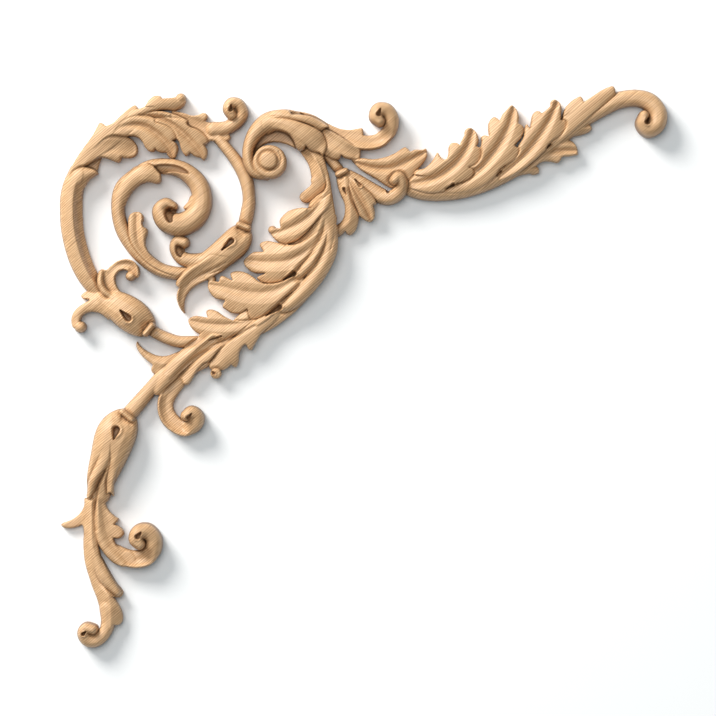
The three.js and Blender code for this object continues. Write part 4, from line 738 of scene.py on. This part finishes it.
for x, y, radius in hearts:
    layRound(x, y, radius, roundForms["heartCrown"], "disc", None, 0)
for form in sum(carving, []):
    if "edge" in form:
        layBlade(form["edge"], form["vein"], form["cut"], form.get("over"))
    else:
        layLine(form["line"], form.get("cut", "round"), form.get("over"))
for collar in collars:
    (x, y), (tx, ty) = collar["at"], collar["toward"]
    out = collar["long"] - collar["short"]
    bar = [(x - ty * out * k, y + tx * out * k, collar["short"], collar["crown"])
           for k in (-1, 0, 1)]
    layLine(bar, "ball", roundForms["atOnce"], roundForms["collarGain"])
for boss in bosses:
    over = roundForms["atOnce"] if boss["cut"] == "disc" else None
    layRound(*boss["at"], boss["radius"], boss["crown"], boss["cut"], over, roundForms["bossGain"])


# how the hollows, gouge strokes and eyes are cut
tools = {
    "deepest": 2.5,  # mm left under a hollow or an eye
    "hollowSoft": 0.5,  # squares, slope of a hollow's wall
    "hollowSteep": 1.25,
    "hollowStart": 0.2,
    "gougeFall": 2,  # how fast a stroke shallows to its sides
    "gougeReach": 1.9,  # half widths
    "eyePoint": 0.5,  # squares, half width at the pointed end
    "eyeMiddle": 0.62,  # share of the half width
    "eyeSlimmest": 0.3,  # squares
    "eyeWall": 0.42,  # share of the half width that slopes
    "rim": 0.7,  # mm that the rim of an eye stands up
    "rimPlace": 1.35,  # half widths from the middle
    "rimWidth": 0.32,
    "rimStart": 1.5,  # how soon the rim rises from the pointed end
}


def cutHollow(hollow):
    inside, window, xs, ys = insideOf(hollow["edge"])
    cover = blurred(inside.astype(float), fine * tools["hollowSoft"])
    cut = hollow["depth"] * ease(cover * tools["hollowSteep"] - tools["hollowStart"])
    ground = height[window]
    ground[:] = np.where(wood[window], np.maximum(ground - cut, tools["deepest"]), ground)


def cutGouge(points):
    line, along = smoothLine(points)
    window, u, station = acrossLine(line, along, float(np.max(line[:, 2])))
    depth = line[station, 3] * np.exp(-tools["gougeFall"] * u * u)
    depth *= np.abs(u) < tools["gougeReach"]
    ground = height[window]
    ground[:] = np.where(wood[window], np.maximum(ground - depth, relief["floor"]), ground)


# an eye is drilled steeply, with a slight raised rim round it
def cutEye(eye):
    x0, y0 = eye["from"]
    x1, y1 = eye["to"]
    line, along = smoothLine([(x0, y0, tools["eyePoint"]),
                              ((x0 + x1) / 2, (y0 + y1) / 2, eye["half"] * tools["eyeMiddle"]),
                              (x1, y1, eye["half"])])
    line[:, 2] = np.maximum(line[:, 2], tools["eyeSlimmest"])
    window, u, station = acrossLine(line, along, eye["half"])
    u = np.abs(u)
    pocket = eye["depth"] * ease((1 - u) / tools["eyeWall"])
    rim = tools["rim"] * np.exp(-((u - tools["rimPlace"]) / tools["rimWidth"]) ** 2)
    rim *= ease(station / len(line) * tools["rimStart"])
    ground = height[window]
    ground[:] = np.where(wood[window], np.maximum(ground - pocket + rim, tools["deepest"]), ground)


for hollow in hollows:
    cutHollow(hollow)
for stroke in gouges:
    cutGouge(stroke)
for eye in eyes:
    cutEye(eye)
print("relief drawn:", int(wood.sum() / fine ** 2), "squares of wood")


# the sheet that carries the relief, and the body under it
skin = {
    "sanding": 0.3,  # squares
    "edgeRound": 0.72,  # squares, rounding of the outer edge
    "edgeDrop": 0.7,  # mm
    "thinnest": 1.5,  # mm
    "step": 2,  # fine cells to a cell of the sheet
    "closeTurns": 3,
    "slideTurns": 2,
    "slideMost": 0.6,  # fine cells in one turn
    "keepFaces": 150000,
    "sharpAngle": 42,  # degrees
    "hollowReach": 1.5,  # squares
}
tiny = 1e-3


def sampled(field, rows, columns):
    rows = np.clip(rows, 0, field.shape[0] - 1 - tiny)
    columns = np.clip(columns, 0, field.shape[1] - 1 - tiny)
    r, c = rows.astype(int), columns.astype(int)
    a, b = rows - r, columns - c
    return ((field[r, c] * (1 - b) + field[r, c + 1] * b) * (1 - a)
            + (field[r + 1, c] * (1 - b) + field[r + 1, c + 1] * b) * a)


# sanding: the height blurred inside the outline only, which also carries it a little past the edge
solid = wood.astype(float)
cover = blurred(solid, fine * skin["sanding"])
sanded = blurred(height, fine * skin["sanding"]) / np.maximum(cover, tiny)
nearEdge = blurred(solid, fine * skin["edgeRound"])
surface = np.maximum(sanded - skin["edgeDrop"] * rolledOff(nearEdge), skin["thinnest"])

# cells of the sheet whose middle is wood, with corner-only contacts closed up
step = skin["step"]
used = cover[1::step, 1::step] > 0.5
for turn in range(skin["closeTurns"]):
    a, b, c, d = used[:-1, :-1], used[:-1, 1:], used[1:, :-1], used[1:, 1:]
    b |= a & d & ~c
    a |= b & c & ~d
nodes = np.zeros((used.shape[0] + 1, used.shape[1] + 1), int)
for dr, dc in ((0, 0), (0, 1), (1, 0), (1, 1)):
    nodes[dr:dr + used.shape[0], dc:dc + used.shape[1]] += used
rows, columns = np.nonzero(nodes)
number = np.full(nodes.shape, -1)
number[rows, columns] = np.arange(len(rows))
r, c = np.nonzero(used)
quads = np.stack([number[r, c], number[r + 1, c], number[r + 1, c + 1], number[r, c + 1]], axis=1)

# the outer nodes slide on to the drawn outline, so that it runs smooth
outer = nodes[rows, columns] < 4
rows, columns = rows.astype(float) * step, columns.astype(float) * step
slopeRow, slopeColumn = np.gradient(cover)
for turn in range(skin["slideTurns"]):
    here = rows[outer], columns[outer]
    value, sr, sc = (sampled(field, *here) for field in (cover, slopeRow, slopeColumn))
    move = (0.5 - value) / np.maximum(sr * sr + sc * sc, 1e-4)
    rows[outer] += np.clip(move * sr, -skin["slideMost"], skin["slideMost"])
    columns[outer] += np.clip(move * sc, -skin["slideMost"], skin["slideMost"])

mm = 0.001
square = drawing["square"]
points = np.stack([(drawing["left"] + columns / fine - drawing["originX"]) * square,
                   -sampled(surface, rows, columns),
                   (drawing["originY"] - drawing["top"] - rows / fine) * square], axis=1) * mm
sheet = bpy.data.meshes.new("carvedSheet")
sheet.from_pydata(points.tolist(), [], quads.tolist())
print("sheet laid:", len(quads), "cells")

applique = bpy.data.objects.new("carvedApplique", sheet)
bpy.context.scene.collection.objects.link(applique)
thin = applique.modifiers.new("thin", "DECIMATE")
thin.ratio = min(1.0, skin["keepFaces"] / (2 * len(quads)))
ready = bpy.context.evaluated_depsgraph_get()
thinned = bpy.data.meshes.new_from_object(applique.evaluated_get(ready))
applique.modifiers.clear()

# straight walls from the outline to the flat back, and the back itself
body = bmesh.new()
body.from_mesh(thinned)
outline = [e for e in body.edges if e.is_boundary]
for item in bmesh.ops.extrude_edge_only(body, edges=outline)["geom"]:
    if isinstance(item, bmesh.types.BMVert):
        item.co.y = 0
lower = [e for e in body.edges if e.is_boundary]
bmesh.ops.triangle_fill(body, use_beauty=False, use_dissolve=False, edges=lower,
                        normal=Vector((0, 1, 0)))
bmesh.ops.recalc_face_normals(body, faces=body.faces)
body.to_mesh(thinned)
body.free()
applique.data = thinned
thinned.shade_smooth()
thinned.set_sharp_from_angle(angle=math.radians(skin["sharpAngle"]))

# how hollow each place is, for the painted shade in the grooves: positive in a groove, negative on
# a crest
place = np.empty(len(thinned.vertices) * 3)
thinned.vertices.foreach_get("co", place)
place = place.reshape(-1, 3) / mm
vertexRow = (drawing["originY"] - drawing["top"] - place[:, 2] / square) * fine
vertexColumn = (place[:, 0] / square + drawing["originX"] - drawing["left"]) * fine
wide = fine * skin["hollowReach"]
around = blurred(np.where(wood, height, 0), wide) / np.maximum(blurred(solid, wide), tiny)
layer = thinned.attributes.new("hollow", "FLOAT", "POINT")
layer.data.foreach_set("value", sampled(around - sanded, vertexRow, vertexColumn))
print("body closed:", len(thinned.vertices), "points,", len(thinned.polygons), "faces")


oak = {
    "pale": (0.8, 0.515, 0.28, 1),
    "tan": (0.36, 0.185, 0.078, 1),
    "pore": (0.34, 0.17, 0.07, 1),
    # painted shade: dark brown laid into grooves and recesses
    "grooveShade": (0.17, 0.08, 0.033, 1),
    "grainTurn": 40,  # degrees that the grain climbs to the right
    # rings: an even line every 1.2 mm or so
    "ringStretch": (0.15, 0.4, 1),
    "ringScale": 262,
    "ringWander": 6.0,
    "ringDetail": 2.0,
    "ringDetailScale": 0.6,
    "ringShare": 0.6,
    # streaks: fine lines drawn out along the wood, uneven from place to place
    "streaks": {"stretch": (0.012, 0.12, 1), "scale": 2000, "detail": 3.0, "rough": 0.55,
                "low": 0.42, "high": 0.6},
    "streakShare": 0.4,
    # pores: short dark dashes along the grain
    "pores": {"stretch": (0.04, 0.3, 1), "scale": 2600, "detail": 2.0, "rough": 0.6,
              "low": 0.58, "high": 0.74},
    "poreShare": 0.5,
    # painted shade: grooves and recesses are darkened in the colour, where shade falls
    "grooveShadeLow": 0.1,  # mm below what lies around
    "grooveShadeHigh": 1.6,
    "grooveShadeMost": 0.7,
    "roughness": 0.5,
    "bump": 0.16,
    "bumpDepth": 0.0002,  # m
}


def node(tree, kind, at=(0, 0), inputs=None, **settings):
    made = tree.nodes.new(kind)
    made.location = at
    for name, value in settings.items():
        setattr(made, name, value)
    for name, value in (inputs or {}).items():
        if isinstance(value, bpy.types.NodeSocket):
            tree.links.new(value, made.inputs[name])
        else:
            made.inputs[name].default_value = value
    return made


def grainMarks(tree, turned, marks, level):
    place = node(tree, "ShaderNodeMapping", (-1400, level), {
        "Vector": turned, "Scale": marks["stretch"]}).outputs["Vector"]
    noise = node(tree, "ShaderNodeTexNoise", (-1200, level), {
        "Vector": place, "Scale": marks["scale"], "Detail": marks["detail"],
        "Roughness": marks["rough"]}).outputs["Fac"]
    return node(tree, "ShaderNodeMapRange", (-1000, level), {
        "Value": noise, "From Min": marks["low"], "From Max": marks["high"]}).outputs["Result"]


def layered(tree, mask, under, over, at):
    inputs = {0: mask, 6: under, 7: over}
    return node(tree, "ShaderNodeMix", at, inputs, data_type="RGBA").outputs[2]


def makeOak():
    material = bpy.data.materials.new("oak")
    material.use_nodes = True
    tree = material.node_tree
    shader = tree.nodes["Principled BSDF"]
    place = node(tree, "ShaderNodeTexCoord", (-1800, 0)).outputs["Object"]
    turned = node(tree, "ShaderNodeMapping", (-1600, 0), {
        "Vector": place, "Rotation": (0, math.radians(oak["grainTurn"]), 0)}).outputs["Vector"]

    ringPlace = node(tree, "ShaderNodeMapping", (-1400, 500), {
        "Vector": turned, "Scale": oak["ringStretch"]}).outputs["Vector"]
    rings = node(tree, "ShaderNodeTexWave", (-1200, 500), {
        "Vector": ringPlace, "Scale": oak["ringScale"], "Distortion": oak["ringWander"],
        "Detail": oak["ringDetail"], "Detail Scale": oak["ringDetailScale"]},
        wave_type="BANDS", bands_direction="Z").outputs["Fac"]
    streaks = grainMarks(tree, turned, oak["streaks"], 200)
    streaks = node(tree, "ShaderNodeMath", (-900, 200), {
        0: streaks, 1: oak["streakShare"]}, operation="MULTIPLY").outputs[0]
    grain = node(tree, "ShaderNodeMath", (-900, 400), {
        0: rings, 1: oak["ringShare"], 2: streaks}, operation="MULTIPLY_ADD").outputs[0]
    toned = layered(tree, grain, oak["pale"], oak["tan"], (-700, 300))

    pores = grainMarks(tree, turned, oak["pores"], -100)
    poreMask = node(tree, "ShaderNodeMath", (-800, -100), {
        0: pores, 1: oak["poreShare"]}, operation="MULTIPLY").outputs[0]
    pored = layered(tree, poreMask, toned, oak["pore"], (-500, 100))

    hollow = node(tree, "ShaderNodeAttribute", (-800, -700), attribute_name="hollow").outputs["Fac"]
    # painted shade: the colour darkens where a place lies below the wood around it
    grooveShadeMask = node(tree, "ShaderNodeMapRange", (-600, -700), {
        "Value": hollow, "From Min": oak["grooveShadeLow"], "From Max": oak["grooveShadeHigh"],
        "To Max": oak["grooveShadeMost"]}).outputs["Result"]
    shadedInGrooves = layered(tree, grooveShadeMask, pored, oak["grooveShade"], (-300, 100))
    tree.links.new(shadedInGrooves, shader.inputs["Base Color"])

    grainHeight = node(tree, "ShaderNodeMath", (-600, -300), {
        0: pores, 1: grain}, operation="ADD").outputs[0]
    bump = node(tree, "ShaderNodeBump", (-300, -300), {
        "Height": grainHeight, "Strength": oak["bump"], "Distance": oak["bumpDepth"]},
        invert=True).outputs["Normal"]
    tree.links.new(bump, shader.inputs["Normal"])
    shader.inputs["Roughness"].default_value = oak["roughness"]
    return material


thinned.materials.append(makeOak())
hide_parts("corner_applique")
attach(applique, "root")
print("finish applied")


photoWidth = 716  # squares
studio = {
    "middle": ((photoWidth / 2 - drawing["originX"]) * square * mm, 0,
               (drawing["originY"] - photoWidth / 2) * square * mm),
    "wall": 6.0,  # m across
    "wallGap": 0.0006,
    "wallColour": (0.97, 0.97, 0.97, 1),
    "wallRoughness": 0.9,
    "lens": 220,  # mm
    "sensor": 36,  # mm
    "farthest": 50,
    "focusDepth": 0.006,
    "keyPlace": (-1.5, -1.35, 1.7),
    "keySize": 1.4,
    "keyPower": 92,
    "keyColour": (1, 0.985, 0.96),
    "fillPlace": (-0.4, -2.6, 0.5),
    "fillSize": 1.6,
    "fillPower": 29,
    "fillColour": (1, 1, 1),
    "air": (0.82, 0.95, 1.0, 1),
    "airStrength": 0.25,
}


def makeWall():
    mesh = bpy.data.meshes.new("paleWall")
    half, gap = studio["wall"] / 2, studio["wallGap"]
    mesh.from_pydata([(x * half, gap, z * half) for x, z in ((-1, -1), (1, -1), (1, 1), (-1, 1))],
                     [], [(0, 1, 2, 3)])
    wall = bpy.data.objects.new("paleWall", mesh)
    bpy.context.scene.collection.objects.link(wall)
    material = bpy.data.materials.new("palePaint")
    material.use_nodes = True
    tree = material.node_tree
    paint = tree.nodes["Principled BSDF"]
    paint.inputs["Base Color"].default_value = studio["wallColour"]
    paint.inputs["Roughness"].default_value = studio["wallRoughness"]
    # seen from behind the wall lets the view through, and the light that such a view needs
    behind = node(tree, "ShaderNodeNewGeometry", (-600, 300)).outputs["Backfacing"]
    passed = node(tree, "ShaderNodeLightPath", (-600, 0)).outputs["Transparent Depth"]
    either = node(tree, "ShaderNodeMath", (-300, 200), {0: behind, 1: passed}, operation="ADD",
                  use_clamp=True).outputs[0]
    clear = node(tree, "ShaderNodeBsdfTransparent", (0, 200))
    mixed = node(tree, "ShaderNodeMixShader", (200, 100), {
        "Fac": either, 1: paint.outputs[0], 2: clear.outputs[0]})
    tree.links.new(mixed.outputs[0], tree.nodes["Material Output"].inputs["Surface"])
    mesh.materials.append(material)


def aimed(thing, place, target):
    thing.location = place
    thing.rotation_euler = (Vector(target) - Vector(place)).to_track_quat("-Z", "Y").to_euler()
    bpy.context.scene.collection.objects.link(thing)


def addLight(name):
    light = bpy.data.lights.new(name, "AREA")
    light.shape = "DISK"
    light.size = studio[name + "Size"]
    light.energy = studio[name + "Power"]
    light.color = studio[name + "Colour"]
    aimed(bpy.data.objects.new(name, light), studio[name + "Place"], studio["middle"])


makeWall()
addLight("key")
addLight("fill")
world = bpy.data.worlds.new("studioAir")
world.use_nodes = True
world.node_tree.nodes["Background"].inputs[0].default_value = studio["air"]
world.node_tree.nodes["Background"].inputs[1].default_value = studio["airStrength"]
bpy.context.scene.world = world

cameraData = bpy.data.cameras.new("camera")
cameraData.lens = studio["lens"]
cameraData.sensor_width = studio["sensor"]
cameraData.clip_end = studio["farthest"]
camera = bpy.data.objects.new("camera", cameraData)
away = photoWidth * square * mm * studio["lens"] / studio["sensor"] + studio["focusDepth"]
middle = studio["middle"]
aimed(camera, (middle[0], -away, middle[2]), middle)
bpy.context.scene.camera = camera
bpy.context.scene.view_settings.view_transform = "Standard"
print("studio set")
